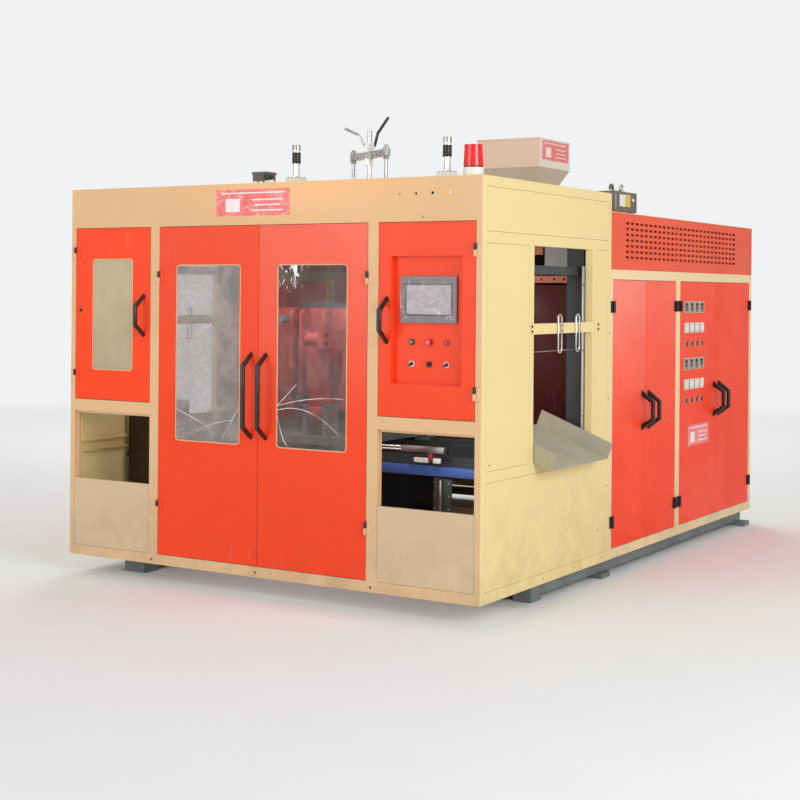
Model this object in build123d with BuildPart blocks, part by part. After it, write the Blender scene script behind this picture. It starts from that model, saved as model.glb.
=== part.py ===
"""Double-station extrusion blow moulding machine in a sheet-metal guard cabinet.

Millimetres. X runs across the front from left to right, Y from the front to the back and Z up.
The origin is on the floor under the middle of the machine.
"""

import os
from math import atan2, cos, degrees, radians, sin

from build123d import *

# Overall sizes
cabinet_width = 2570
total_depth = 3857
front_depth = 1483
base_height = 100
front_height = 2000
roof_step = 97

# Sheet metal
sheet = 3
frame_depth = 40
door_depth = 30
door_gap = 3
seal_gap = 1
stop_width = 12
panel_gap = 1.5
panel_depth = 20

# Front face
edge_post = 32
side_bay_width = 536
inner_post = 60
header_height = 210
side_bay_sill = 854
lower_opening_top = 790
lower_panel_top = 420
bottom_rail = 54

# Side face of the front cabinet
side_front_rail = 5
jamb_width = 50
side_opening_front = 540
side_opening_length = 695
side_opening_sill = 617
side_opening_head = 312
side_top_panel_head = 47
side_top_panel_height = 211
side_sill_rail = 53
side_rear_post = 45

# Side face of the rear cabinet
vent_sill = 1587
vent_rail = 54
rear_post = 26
mullion_centre = 1007
mullion_width = 70
end_post = 45

# Doors
window_radius = 20
side_window_width = 283
side_window_head = 170
side_window_sill = 1020
centre_window_width = 420
centre_window_head = 203
centre_window_sill = 667
pane_thickness = 4
pane_overlap = 15

# Handles
handle_radius = 12
handle_standoff = 68
handle_lean = 52
handle_sides = 8
handle_inset = 48
long_handle = 440
short_handle = 226

# Hinges
hinge_height = 64
hinge_leaf = 30
hinge_leaf_thickness = 5
hinge_barrel_radius = 7
hinge_axis_out = 9
hinge_split_gap = 1
hinge_edge_gap = 1.5
hinge_sides = 6

# Control panel
recess_width = 391
recess_head = 164
recess_sill = 1016
recess_depth = 34
screen_bezel_width = 306
screen_bezel_height = 222
screen_bezel_depth = 12
screen_width = 245
screen_height = 139
screen_body_depth = 45
screen_head = 96
button_pitch = 96
button_row_upper = 200
button_row_lower = 96
button_hole_radius = 11
collar_radius = 15
collar_height = 6
collar_wall = 2
button_clearance = 0.4
button_travel = 4
button_body_depth = 42
button_sides = 8
bar_sides = 12
large_sides = 24

# Zone instruments
instrument_size = 72
instrument_pitch = 88
instrument_bezel = 6
instrument_body = 50
instrument_rows = 4
meter_height = 64
switch_width = 30
switch_height = 36

# Vent panel
vent_columns = 11
vent_slot_length = 146
vent_slot_height = 14
vent_column_pitch = 168.1
vent_row_pitch = 31.7
vent_first_slot = 274
vent_first_row = 71
vent_top_margin = 46

# Side crossbar and its hooks
crossbar_height = 53
crossbar_thickness = 6
crossbar_sill = 1250
crossbar_overhang = 60
hook_rod_radius = 5
hook_width = 50
hook_height = 202
hook_sill = 1148
hook_spacing = 213
hook_bend = 15

# Chute
chute_reach = 98
chute_inner_reach = 320
chute_slope = 21
chute_flange = 88
chute_clearance = 6

# Stations
clamp_centre = 1030
station_pitch = 506

# Inner frame
inner_side_gap = 125
inner_front = 490
inner_rear = 1340
inner_front_post = 60
inner_rear_post = 100
rail_beam_top = 600
rail_beam_height = 80
rail_beam_width = 60
rail_height = 22
rail_width = 24
rail_end_gap = 120
head_beam_width = 80
head_beam_height = 80
head_beam_gap = 70
head_roof_gap = 5
side_beam_height = 80
mid_beam_sill = 1550
mid_beam_height = 45

# Shuttle and clamps
shoe_clearance = 0.3
shoe_height = 38
shoe_length = 90
shuttle_plate = 40
unit_width = 470
end_plate = 40
platen_width = 460
platen_thickness = 50
platen_sill = 800
platen_height = 560
platen_rib = 70
platen_open = 230
platen_stroke = 120
tie_bar_radius = 22
tie_bar_clearance = 0.1
tie_bar_half_span = 185
tie_bar_low = 870
tie_bar_high = 1300
mould_bolt_spacing = 300
mould_bolt_radius = 8
rocker_pivot_height = 800
rocker_pivot_depth = 560
rocker_length = 400
rocker_width = 90
rocker_lower_radius = 62
rocker_upper_radius = 38
rocker_pin_radius = 16
pivot_pin_radius = 20
rocker_pin_reach = 34
rocker_slot_clearance = 1.5

# Blow units
blow_rod_radius = 19
blow_rod_clearance = 0.1
blow_stroke = 80
blow_flange_top = 113
blow_pin_radius = 11
blow_pin_length = 84
blow_pin_drop = 435
blow_cylinder_drop = 255

# Extruder
barrel_drop = 295
barrel_radius = 62
barrel_cover = 85
barrel_cover_inset = 50
feed_depth = 2958
feed_block = 230
gearbox_length = 340
stand_drop = 520
stand_beam = 60

# Hopper
hopper_width = 463
hopper_box_rise = 381
hopper_box_height = 191
hopper_neck_width = 110
hopper_neck_rise = 57

# Core adjuster
core_screw_radius = 13
core_clearance = 0.1
core_rise = 370
yoke_rise = 226
yoke_thickness = 38
yoke_half_length = 200
yoke_turn = -30
yoke_width = 34
yoke_end_radius = 24
yoke_sides = 8
post_radius = 10

# Reference planes and derived places
half_width = cabinet_width / 2
rear_height = front_height - roof_step
rear_door_top = vent_sill - vent_rail
side_opening_top = front_height - side_opening_head
side_top_panel_top = front_height - side_top_panel_head
side_top_panel_sill = side_top_panel_top - side_top_panel_height
door_top = front_height - header_height
side_window_height = door_top - side_window_head - side_window_sill
centre_window_height = door_top - centre_window_head - centre_window_sill
recess_height = door_top - recess_head - recess_sill
inner_half_width = half_width - inner_side_gap
rail_reach = inner_half_width - rail_end_gap
head_beam_place = front_height - head_beam_height - head_roof_gap
barrel_height = head_beam_place - barrel_drop
stand_sill = barrel_height - stand_drop
hopper_box_sill = rear_height + hopper_box_rise
hopper_neck_top = rear_height + hopper_neck_rise
core_top = front_height + core_rise
yoke_height = front_height + yoke_rise
front_y = -(total_depth - handle_standoff - handle_radius) / 2
back_y = front_y + total_depth
sill = base_height
right_x = half_width
clamp_y = front_y + clamp_centre
roof_top = sill + front_height + sheet
stop_depth = door_depth + seal_gap
centre_bay_half = half_width - edge_post - side_bay_width - inner_post
lower_sill = sill + bottom_rail


def depth(distance):
    """The Y place of a distance measured back from the front face."""
    return front_y + distance


def up(height):
    """The Z place of a height measured up from the bottom of the cabinet."""
    return sill + height


front_face = Plane(origin=(0, front_y, 0), x_dir=(1, 0, 0), z_dir=(0, -1, 0))
right_face = Plane(origin=(right_x, 0, 0), x_dir=(0, 1, 0), z_dir=(1, 0, 0))
left_face = Plane(origin=(-right_x, 0, 0), x_dir=(0, -1, 0), z_dir=(-1, 0, 0))
back_face = Plane(origin=(0, back_y, 0), x_dir=(-1, 0, 0), z_dir=(0, 1, 0))

os.makedirs("parts", exist_ok=True)
nodes = {}


def middle(box):
    """The centre of a rectangle given as its left, right, bottom and top."""
    return ((box[0] + box[1]) / 2, (box[2] + box[3]) / 2)


def grown(box, amount):
    """A rectangle grown on all four sides."""
    return (box[0] - amount, box[1] + amount, box[2] - amount, box[3] + amount)


def rectangle(box, mode=Mode.ADD):
    """A rectangle in the sketch that is open, given as its left, right, bottom and top."""
    with Locations(middle(box)):
        Rectangle(box[1] - box[0], box[3] - box[2], mode=mode)


def block(x, y, z, mode=Mode.ADD):
    """A box in the part that is open, given as its low and high places on each axis."""
    with Locations(((x[0] + x[1]) / 2, (y[0] + y[1]) / 2, (z[0] + z[1]) / 2)):
        Box(x[1] - x[0], y[1] - y[0], z[1] - z[0], mode=mode)


def folded_face(face, outline, openings, stops):
    """A sheet-metal face with folded edges, and stop strips inside the openings that need them."""
    with BuildPart() as folded:
        with BuildSketch(face):
            rectangle(outline)
            for opening in openings:
                rectangle(opening, Mode.SUBTRACT)
        extrude(amount=-frame_depth)
        with BuildSketch(face.offset(-frame_depth)):
            rectangle(grown(outline, -sheet))
            for opening in openings:
                rectangle(grown(opening, sheet), Mode.SUBTRACT)
        extrude(amount=frame_depth - sheet, mode=Mode.SUBTRACT)
        for opening, strip_depth in stops:
            with BuildSketch(face.offset(-strip_depth)):
                rectangle(opening)
                rectangle(grown(opening, -stop_width), Mode.SUBTRACT)
            extrude(amount=-sheet)
    return folded.part


def tray(face, box, tray_depth):
    """A flat panel with folded edges, seated flush with its face."""
    with BuildPart() as folded:
        with BuildSketch(face):
            rectangle(box)
        extrude(amount=-tray_depth)
        with BuildSketch(face.offset(-tray_depth)):
            rectangle(grown(box, -sheet))
        extrude(amount=tray_depth - sheet, mode=Mode.SUBTRACT)
    return folded.part


def mirrored(part):
    """The same part on the other side of the machine."""
    return part.mirror(Plane.YZ)


def save(name, *solids):
    """Label a node made of one or more separate solids and write its file."""
    node = solids[0] if len(solids) == 1 else Compound(children=list(solids))
    node.label = name
    nodes[name] = node
    export_step(node, f"parts/{name}.step")


# Openings of the front face
left_bay = (-half_width + edge_post, -half_width + edge_post + side_bay_width)
right_bay = (-left_bay[1], -left_bay[0])
bay_top = up(door_top)
upper_left_bay = (*left_bay, up(side_bay_sill), bay_top)
upper_right_bay = (*right_bay, up(side_bay_sill), bay_top)
centre_bay = (-centre_bay_half, centre_bay_half, lower_sill, bay_top)
lower_left_bay = (*left_bay, lower_sill, up(lower_opening_top))
lower_right_bay = (*right_bay, lower_sill, up(lower_opening_top))

with BuildPart() as front_frame:
    add(
        folded_face(
            front_face,
            (-half_width, half_width, sill, up(front_height)),
            [upper_left_bay, upper_right_bay, centre_bay, lower_left_bay, lower_right_bay],
            [
                (upper_left_bay, stop_depth),
                (upper_right_bay, stop_depth),
                (centre_bay, stop_depth),
                (lower_left_bay, panel_depth),
                (lower_right_bay, panel_depth),
            ],
        )
    )
save("front_frame", front_frame.part)

# Openings of the front cabinet's side
side_start = depth(frame_depth)
side_end = depth(front_depth)
side_low = side_start + side_front_rail
side_high = side_end - side_rear_post
opening_front = depth(side_opening_front)
opening_back = opening_front + side_opening_length
side_opening = (opening_front, opening_back, up(side_opening_sill), up(side_opening_top))
side_panel_bays = [
    (side_low, side_high, up(side_top_panel_sill), up(side_top_panel_top)),
    (side_low, opening_front - jamb_width, up(side_opening_sill), up(side_opening_top)),
    (opening_back + jamb_width, side_high, up(side_opening_sill), up(side_opening_top)),
    (side_low, side_high, up(side_sill_rail), up(side_opening_sill - side_sill_rail)),
]
rear_tie_height = 140

with BuildPart() as front_cabinet_frame:
    right_side = folded_face(
        right_face,
        (side_start, side_end, sill, up(front_height)),
        [side_opening, *side_panel_bays],
        [(bay, panel_depth) for bay in side_panel_bays],
    )
    add(right_side)
    add(mirrored(right_side))
    with BuildSketch(Plane.YZ.offset(-half_width + frame_depth)):
        rectangle((side_end - frame_depth, side_end, up(front_height - rear_tie_height), up(front_height)))
        rectangle(
            (
                side_end - frame_depth,
                side_end - sheet,
                up(front_height - rear_tie_height) + sheet,
                up(front_height) - sheet,
            ),
            Mode.SUBTRACT,
        )
    extrude(amount=cabinet_width - 2 * frame_depth)
save("front_cabinet_frame", front_cabinet_frame.part)

# Panels that are screwed into the front cabinet
lower_panel = (left_bay[0] + panel_gap, left_bay[1] - panel_gap, lower_sill + panel_gap, up(lower_panel_top))
panels = [tray(front_face, lower_panel, panel_depth)]
panels += [tray(right_face, grown(bay, -panel_gap), panel_depth) for bay in side_panel_bays]
panels += [mirrored(panel) for panel in panels]
save("fixed_panels", *panels)

# Openings of the rear cabinet's side
rear_start = depth(front_depth) + 1
mullion_y = rear_start + mullion_centre
first_bay = (rear_start + rear_post, mullion_y - mullion_width / 2, up(bottom_rail), up(rear_door_top))
second_bay = (mullion_y + mullion_width / 2, back_y - end_post, up(bottom_rail), up(rear_door_top))
back_bay_half = (half_width - frame_depth - end_post - mullion_width / 2) / 2
back_bay_centre = back_bay_half + mullion_width / 2
back_bays = [
    (centre - back_bay_half, centre + back_bay_half, up(bottom_rail), up(rear_door_top))
    for centre in (-back_bay_centre, back_bay_centre)
]
upright = 40
cross_beam = mullion_width - 2 * sheet
upright_places = (rear_start, mullion_y - upright / 2, back_y - frame_depth - upright)

back_half = half_width - frame_depth
rail_y = (rear_start, back_y - frame_depth)
beam_y = (mullion_y - cross_beam / 2, mullion_y + cross_beam / 2)
end_y = (back_y - frame_depth - stand_beam, back_y - frame_depth)
upright_x = (half_width - sheet - upright, half_width - sheet)
stand_spread = 150


def bar_solid(x, y, z):
    """A plain bar as a solid of its own."""
    with BuildPart() as bar_part:
        block(x, y, z)
    return bar_part.part


rear_side = folded_face(
    right_face,
    (rear_start, back_y, sill, up(vent_sill)),
    [first_bay, second_bay],
    [(first_bay, stop_depth), (second_bay, stop_depth)],
)
rear_end = folded_face(
    back_face,
    (-back_half, back_half, sill, up(rear_height)),
    back_bays,
    [(bay, panel_depth) for bay in back_bays],
)
upright_z = (up(vent_sill), up(rear_height) - upright)
rear_uprights = [bar_solid(upright_x, (place, place + upright), upright_z) for place in upright_places]
rear_uprights.append(bar_solid(upright_x, rail_y, (up(rear_height) - upright, up(rear_height))))
beam_span = (-half_width + sheet, half_width - sheet)
floor_beam_z = (up(sheet), up(bottom_rail))
stand_beam_z = (up(stand_sill - stand_beam), up(stand_sill))
stand_bars = [
    bar_solid(beam_span, beam_y, floor_beam_z),
    bar_solid(beam_span, beam_y, stand_beam_z),
    bar_solid((-back_half, back_half), end_y, floor_beam_z),
    bar_solid((-back_half, back_half), end_y, stand_beam_z),
]
for stand_x in (-stand_spread, stand_spread):
    stand_bars.append(
        bar_solid(
            (stand_x - stand_beam / 2, stand_x + stand_beam / 2),
            (beam_y[0], end_y[1]),
            (up(stand_sill), up(stand_sill + stand_beam)),
        )
    )
rear_solids = [rear_side, mirrored(rear_side), rear_end, *rear_uprights]
rear_solids += [mirrored(bar) for bar in rear_uprights]
save("rear_frame", *rear_solids, *stand_bars)

save("back_panels", *[tray(back_face, grown(bay, -panel_gap), panel_depth) for bay in back_bays])

# Slotted vent panels above the rear doors
vent_panel_box = (rear_start, back_y, up(vent_sill), up(rear_height))
vent_rows = int((rear_height - vent_sill - vent_first_row - vent_top_margin) // vent_row_pitch) + 1
vent_area = (
    rear_start + vent_first_slot + (vent_columns - 1) * vent_column_pitch / 2,
    up(vent_sill + vent_first_row) + (vent_rows - 1) * vent_row_pitch / 2,
)
with BuildPart() as vent_panel:
    with BuildSketch(right_face):
        rectangle(vent_panel_box)
        with Locations(vent_area):
            with GridLocations(vent_column_pitch, vent_row_pitch, vent_columns, vent_rows):
                Rectangle(vent_slot_length, vent_slot_height, mode=Mode.SUBTRACT)
    extrude(amount=-sheet)
save("vent_panels", vent_panel.part, mirrored(vent_panel.part))

# Roof sheets
hopper_y = depth(feed_depth)
roof_inset = 2
roof_hole = 4
roof_hole_sides = 8
blow_block = 90
yoke_dx = yoke_half_length * cos(radians(yoke_turn))
yoke_dy = yoke_half_length * sin(radians(yoke_turn))
post_places = [(yoke_dx, clamp_y + yoke_dy), (-yoke_dx, clamp_y - yoke_dy)]
blow_places = [(-station_pitch, clamp_y), (station_pitch, clamp_y)]

with BuildPart() as front_roof:
    with BuildSketch(Plane.XY.offset(up(front_height))):
        rectangle((-half_width + roof_inset, half_width - roof_inset, front_y + roof_inset, side_end))
        with Locations(*blow_places):
            Rectangle(blow_block / 2, blow_block / 2, mode=Mode.SUBTRACT)
        with Locations(*post_places):
            RegularPolygon(post_radius + roof_hole, roof_hole_sides, mode=Mode.SUBTRACT)
        with Locations((0, clamp_y)):
            RegularPolygon(core_screw_radius + roof_hole, roof_hole_sides, mode=Mode.SUBTRACT)
    extrude(amount=sheet)
with BuildPart() as rear_roof:
    with BuildSketch(Plane.XY.offset(up(rear_height))):
        rectangle((-half_width, half_width, rear_start, back_y))
        with Locations((0, hopper_y)):
            Rectangle(hopper_neck_width + 20, hopper_neck_width + 20, mode=Mode.SUBTRACT)
    extrude(amount=sheet)
save("roof_sheets", front_roof.part, rear_roof.part)

# Base frame under both cabinets
base_inset = 53
base_width = 120
base_front = 637
base_back = total_depth - 40
foot_height = 28
foot_length = 110
foot_hole_radius = 9
base_flange = 10
foot_inset = 20
middle_foot_reach = 36
rear_foot_reach = 73
feet = (
    (base_front + foot_length / 2, 0),
    (1480, middle_foot_reach),
    (base_back - 82, rear_foot_reach),
)
base_outer = half_width - base_inset
base_inner = base_outer - base_width
cross_channel_width = 80
cross_channel_places = (
    base_front + cross_channel_width / 2,
    front_depth,
    front_depth + mullion_centre,
    base_back - cross_channel_width / 2,
)
outrigger = (243 - half_width, 384 - half_width)
outrigger_front = 180

with BuildPart() as base_frame:
    with BuildSketch(Plane.XZ.offset(-depth(base_front))):
        for side in (-1, 1):
            inner, outer = sorted((side * base_inner, side * base_outer))
            rectangle((inner, outer, foot_height, sill))
            web = (inner, outer - base_flange) if side > 0 else (inner + base_flange, outer)
            rectangle((*web, foot_height + base_flange, sill - base_flange), Mode.SUBTRACT)
    extrude(amount=-(base_back - base_front))
    for place in cross_channel_places:
        cross_y = (depth(place) - cross_channel_width / 2, depth(place) + cross_channel_width / 2)
        cross_x = (-base_outer + base_flange, base_outer - base_flange)
        block(cross_x, cross_y, (foot_height + base_flange, sill - base_flange))
    block(outrigger, (depth(outrigger_front), depth(base_front)), (foot_height + base_flange, sill))
    outrigger_foot = (depth(outrigger_front), depth(outrigger_front + foot_length))
    block(outrigger, outrigger_foot, (0, foot_height + base_flange))
    for place, reach in feet:
        foot_y = (depth(place) - foot_length / 2, depth(place) + foot_length / 2)
        for side in (-1, 1):
            foot_x = tuple(sorted((side * (base_inner + foot_inset), side * (base_outer + reach))))
            block(foot_x, foot_y, (0, foot_height))
        if reach:
            bolt_x = base_outer + reach / 2
            with BuildSketch(Plane.XY):
                with Locations((-bolt_x, depth(place)), (bolt_x, depth(place))):
                    Circle(foot_hole_radius)
            extrude(amount=foot_height, mode=Mode.SUBTRACT)
save("base_frame", base_frame.part)


# Doors, their handles and hinges
def door_leaf(face, box, cuts=()):
    """A folded door sheet, with rectangular cuts given as a box and a corner radius."""
    with BuildPart() as leaf:
        add(tray(face, box, door_depth))
        if cuts:
            with BuildSketch(face):
                for cut, radius in cuts:
                    with Locations(middle(cut)):
                        if radius:
                            RectangleRounded(cut[1] - cut[0], cut[3] - cut[2], radius)
                        else:
                            Rectangle(cut[1] - cut[0], cut[3] - cut[2])
            extrude(amount=-sheet, mode=Mode.SUBTRACT)
    return leaf.part


def bow_handle(face, x, low, high):
    """A tubular pull handle, with legs that lean in to the bar."""
    origin = face.from_local_coords((x, 0, 0))
    upright_plane = Plane(origin=origin, x_dir=(0, 0, 1), z_dir=Vector(0, 0, 1).cross(face.z_dir))
    with BuildPart() as handle:
        with BuildLine(upright_plane) as centre_line:
            Polyline(
                (low + handle_radius, -handle_radius),
                (low + handle_radius + handle_lean, handle_standoff),
                (high - handle_radius - handle_lean, handle_standoff),
                (high - handle_radius, -handle_radius),
            )
        section = Plane(origin=centre_line.line @ 0, x_dir=face.x_dir, z_dir=centre_line.line % 0)
        with BuildSketch(section):
            RegularPolygon(handle_radius, handle_sides)
        sweep(path=centre_line.line, transition=Transition.RIGHT)
        with BuildSketch(face):
            rectangle((x - 60, x + 60, low - 60, high + 60))
        extrude(amount=-60, mode=Mode.SUBTRACT)
    return handle.part


def hinge_half(face, axis_x, side, bottom, upper):
    """One half of a barrel hinge: its leaf lies on the face, to the side that is given."""
    axis = face.from_local_coords((axis_x, 0, hinge_axis_out))
    half = hinge_height / 2
    low = bottom + half + hinge_split_gap if upper else bottom
    leaf_start = hinge_barrel_radius + hinge_edge_gap
    with BuildPart() as hinge:
        with BuildSketch(face):
            rectangle(
                (
                    *sorted((axis_x + side * leaf_start, axis_x + side * hinge_leaf)),
                    bottom,
                    bottom + hinge_height,
                )
            )
            rectangle(
                (
                    *sorted((axis_x + side * hinge_edge_gap, axis_x + side * leaf_start)),
                    low,
                    low + half - hinge_split_gap,
                )
            )
        extrude(amount=hinge_leaf_thickness)
        with BuildSketch(Plane.XY.offset(low)):
            with Locations((axis.X, axis.Y)):
                RegularPolygon(hinge_barrel_radius, hinge_sides)
        extrude(amount=half - hinge_split_gap)
    return hinge.part


frame_hinges = []
hinge_axes = {}


def hang_door(name, face, bay, span, hinge_side, handle, hinge_sills, cuts=(), extras=()):
    """A door in a bay, with its handle and its halves of the hinges. Its span is its two edges."""
    box = (span[0], span[1], bay[2] + door_gap, bay[3] - door_gap)
    edge = span[0] if hinge_side < 0 else span[1]
    axis_x = edge + hinge_side * door_gap / 2
    solids = [door_leaf(face, box, cuts), *extras]
    handle_x = span[1] - handle_inset + door_gap if hinge_side < 0 else span[0] + handle_inset - door_gap
    solids.append(bow_handle(face, handle_x, handle[0], handle[0] + handle[1]))
    for bottom in hinge_sills:
        solids.append(hinge_half(face, axis_x, -hinge_side, bottom, True))
        frame_hinges.append(hinge_half(face, axis_x, hinge_side, bottom, False))
    hinge_axes[name] = face.from_local_coords((axis_x, 0, hinge_axis_out))
    save(name, *solids)
    return box


def pane(face, cut):
    """A clear pane that lies on the back of a door sheet, round a window cut."""
    with BuildPart() as glass:
        with BuildSketch(face.offset(-sheet)):
            box = grown(cut, pane_overlap)
            with Locations(middle(box)):
                Rectangle(box[1] - box[0], box[3] - box[2])
        extrude(amount=-pane_thickness)
    return glass.part


def window_cut(span, width, window_sill, height):
    """A window cut in the middle of a door's span."""
    centre = (span[0] + span[1]) / 2
    return (centre - width / 2, centre + width / 2, up(window_sill), up(window_sill + height))


left_span = (upper_left_bay[0] + door_gap, upper_left_bay[1] - door_gap)
right_span = (upper_right_bay[0] + door_gap, upper_right_bay[1] - door_gap)
centre_left_span = (centre_bay[0] + door_gap, -door_gap / 2)
centre_right_span = (door_gap / 2, centre_bay[1] - door_gap)
side_hinge_sills = (up(side_bay_sill) + 98, bay_top - 168)
centre_hinge_sills = (up(278), bay_top - 300)

left_cut = window_cut(left_span, side_window_width, side_window_sill, side_window_height)
hang_door(
    "front_left_door", front_face, upper_left_bay, left_span, -1,
    (up(1205), short_handle), side_hinge_sills, [(left_cut, window_radius)],
)
save("front_left_window", pane(front_face, left_cut))

for name, span, hinge_side in (("centre_left", centre_left_span, -1), ("centre_right", centre_right_span, 1)):
    cut = window_cut(span, centre_window_width, centre_window_sill, centre_window_height)
    hang_door(
        f"{name}_door", front_face, centre_bay, span, hinge_side,
        (up(700), long_handle), centre_hinge_sills, [(cut, window_radius)],
    )
    save(f"{name}_window", pane(front_face, cut))

# Control door with its recessed panel
recess = window_cut(right_span, recess_width, recess_sill, recess_height)
recess_centre = middle(recess)[0]
screen_bezel = (
    recess_centre - screen_bezel_width / 2,
    recess_centre + screen_bezel_width / 2,
    recess[3] - screen_head - screen_bezel_height,
    recess[3] - screen_head,
)
screen_body = grown(screen_bezel, -16)
button_places = {
    "green_button": (recess_centre - button_pitch, recess[2] + button_row_upper),
    "red_button": (recess_centre, recess[2] + button_row_upper),
    "stop_button": (recess_centre + button_pitch, recess[2] + button_row_upper),
    "left_selector": (recess_centre - button_pitch, recess[2] + button_row_lower),
    "key_switch": (recess_centre, recess[2] + button_row_lower),
    "right_selector": (recess_centre + button_pitch, recess[2] + button_row_lower),
}
recess_floor = front_face.offset(-recess_depth)

with BuildPart() as recess_pan:
    with BuildSketch(front_face.offset(-sheet)):
        rectangle(grown(recess, sheet))
    extrude(amount=-recess_depth)
    with BuildSketch(front_face.offset(-sheet)):
        rectangle(recess)
    extrude(amount=-recess_depth + sheet, mode=Mode.SUBTRACT)
    with BuildSketch(recess_floor):
        rectangle(grown(screen_body, 1))
        with Locations(*button_places.values()):
            RegularPolygon(button_hole_radius + button_clearance, button_sides, major_radius=False)
    extrude(amount=-sheet, mode=Mode.SUBTRACT)
hang_door(
    "control_door", front_face, upper_right_bay, right_span, 1,
    (up(1205), short_handle), side_hinge_sills, [(recess, 0)], [recess_pan.part],
)

with BuildPart() as touch_screen:
    with BuildSketch(recess_floor):
        with Locations(middle(screen_bezel)):
            RectangleRounded(screen_bezel_width, screen_bezel_height, 6)
    extrude(amount=screen_bezel_depth)
    with BuildSketch(recess_floor.offset(screen_bezel_depth)):
        with Locations(middle(screen_bezel)):
            Rectangle(screen_width, screen_height)
    extrude(amount=-2, mode=Mode.SUBTRACT)
    with BuildSketch(recess_floor):
        rectangle(screen_body)
    extrude(amount=-screen_body_depth)
save("touch_screen", touch_screen.part)

collars = []
for place in button_places.values():
    with BuildPart() as collar:
        with BuildSketch(recess_floor):
            with Locations(place):
                RegularPolygon(collar_radius, button_sides)
        extrude(amount=collar_height)
        with BuildSketch(recess_floor):
            with Locations(place):
                RegularPolygon(button_hole_radius, button_sides, major_radius=False)
        extrude(amount=-button_body_depth)
        with BuildSketch(recess_floor.offset(collar_height)):
            with Locations(place):
                RegularPolygon(button_hole_radius - collar_wall, button_sides, major_radius=False)
        extrude(amount=-collar_height - button_body_depth / 2, mode=Mode.SUBTRACT)
    collars.append(collar.part)
save("button_collars", *collars)

cap_radius = button_hole_radius - collar_wall - button_clearance
cap_depth = button_body_depth / 2 - button_travel - collar_wall


def push_cap(place, head_radius, head_height):
    """A button's stem in its collar, with a head that stands off by more than its travel."""
    with BuildPart() as cap:
        with BuildSketch(recess_floor.offset(-cap_depth)):
            with Locations(place):
                RegularPolygon(cap_radius, button_sides, major_radius=False)
        extrude(amount=cap_depth + collar_height + button_travel + 1)
        if head_height:
            with BuildSketch(recess_floor.offset(collar_height + button_travel + 1)):
                with Locations(place):
                    RegularPolygon(head_radius, large_sides)
            extrude(amount=head_height)
    return cap.part


def selector_knob(place, grip_length, grip_width):
    """A rotary switch: a round stem in its collar and a raised grip across it."""
    with BuildPart() as knob:
        with BuildSketch(recess_floor.offset(-cap_depth)):
            with Locations(place):
                Circle(cap_radius)
        extrude(amount=cap_depth + collar_height + 3)
        with BuildSketch(recess_floor.offset(collar_height + 3)):
            with Locations(Location(place, 45)):
                Rectangle(grip_length, grip_width)
        extrude(amount=11)
    return knob.part


save("green_button", push_cap(button_places["green_button"], cap_radius, 0))
save("red_button", push_cap(button_places["red_button"], 17, 10))
save("stop_button", push_cap(button_places["stop_button"], cap_radius, 0))
save("left_selector", selector_knob(button_places["left_selector"], 24, 8))
save("right_selector", selector_knob(button_places["right_selector"], 24, 8))
save("key_switch", selector_knob(button_places["key_switch"], 16, 3))

# Rear side doors, four on each side
first_middle = (first_bay[0] + first_bay[1]) / 2
second_middle = (second_bay[0] + second_bay[1]) / 2
rear_hinge_sills = (up(168), up(1350))
rear_handle = (up(675), short_handle)
side_spans = [
    (first_bay[0] + door_gap, first_middle - door_gap / 2, first_bay, -1),
    (first_middle + door_gap / 2, first_bay[1] - door_gap, first_bay, 1),
    (second_bay[0] + door_gap, second_middle - door_gap / 2, second_bay, -1),
    (second_middle + door_gap / 2, second_bay[1] - door_gap, second_bay, 1),
]
instrument_first = second_bay[0] + 101
instrument_banks = (up(1375), up(1028))
meter_drop = 126
switch_drop = 224
instrument_cuts = []
instruments = []
for bank in instrument_banks:
    for count in range(instrument_rows):
        x = instrument_first + count * instrument_pitch
        for z, width, height, body in (
            (bank, instrument_size, instrument_size, instrument_body),
            (bank - meter_drop, instrument_size, meter_height, instrument_body),
            (bank - switch_drop, switch_width, switch_height, 0),
        ):
            front = (x - width / 2, x + width / 2, z - height / 2, z + height / 2)
            with BuildPart() as instrument:
                with BuildSketch(right_face):
                    rectangle(front)
                extrude(amount=instrument_bezel)
                if body:
                    with BuildSketch(right_face):
                        rectangle(grown(front, -5))
                    extrude(amount=-body)
            instruments.append(instrument.part)
            if body:
                instrument_cuts.append((grown(front, -4), 0))
save("zone_instruments", *instruments)

for number, (low, high, bay, hinge_side) in enumerate(side_spans, 1):
    cuts = instrument_cuts if number == 3 else ()
    hang_door(
        f"right_door_{number}", right_face, bay, (low, high), hinge_side,
        rear_handle, rear_hinge_sills, cuts,
    )
for number, (low, high, bay, hinge_side) in enumerate(side_spans, 1):
    hang_door(
        f"left_door_{number}", left_face, (-bay[1], -bay[0], bay[2], bay[3]), (-high, -low), -hinge_side,
        rear_handle, rear_hinge_sills,
    )
save("frame_hinges", *frame_hinges)

# Crossbars over the side openings, with the rod hooks that hang from them
bar = (opening_front - crossbar_overhang + 17, opening_back + crossbar_overhang + 17)
with BuildPart() as crossbar:
    with BuildSketch(right_face):
        rectangle((*bar, up(crossbar_sill), up(crossbar_sill + crossbar_height)))
    extrude(amount=crossbar_thickness)
save("side_crossbars", crossbar.part, mirrored(crossbar.part))

hooks = []
hook_middle = (bar[0] + bar[1]) / 2
for offset_y in (-hook_spacing / 2, hook_spacing / 2):
    centre = (hook_middle + offset_y + 17, up(hook_sill + hook_height / 2))
    with BuildPart() as hook:
        with BuildSketch(right_face.offset(crossbar_thickness)) as loop:
            with Locations(centre):
                Rectangle(hook_width, hook_height)
            chamfer(loop.vertices(), hook_bend)
            offset(amount=-2 * hook_rod_radius, kind=Kind.INTERSECTION, mode=Mode.SUBTRACT)
        extrude(amount=2 * hook_rod_radius)
    hooks.append(hook.part)
hooks += [mirrored(hook) for hook in hooks]
save("crossbar_hooks", *hooks)

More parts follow.
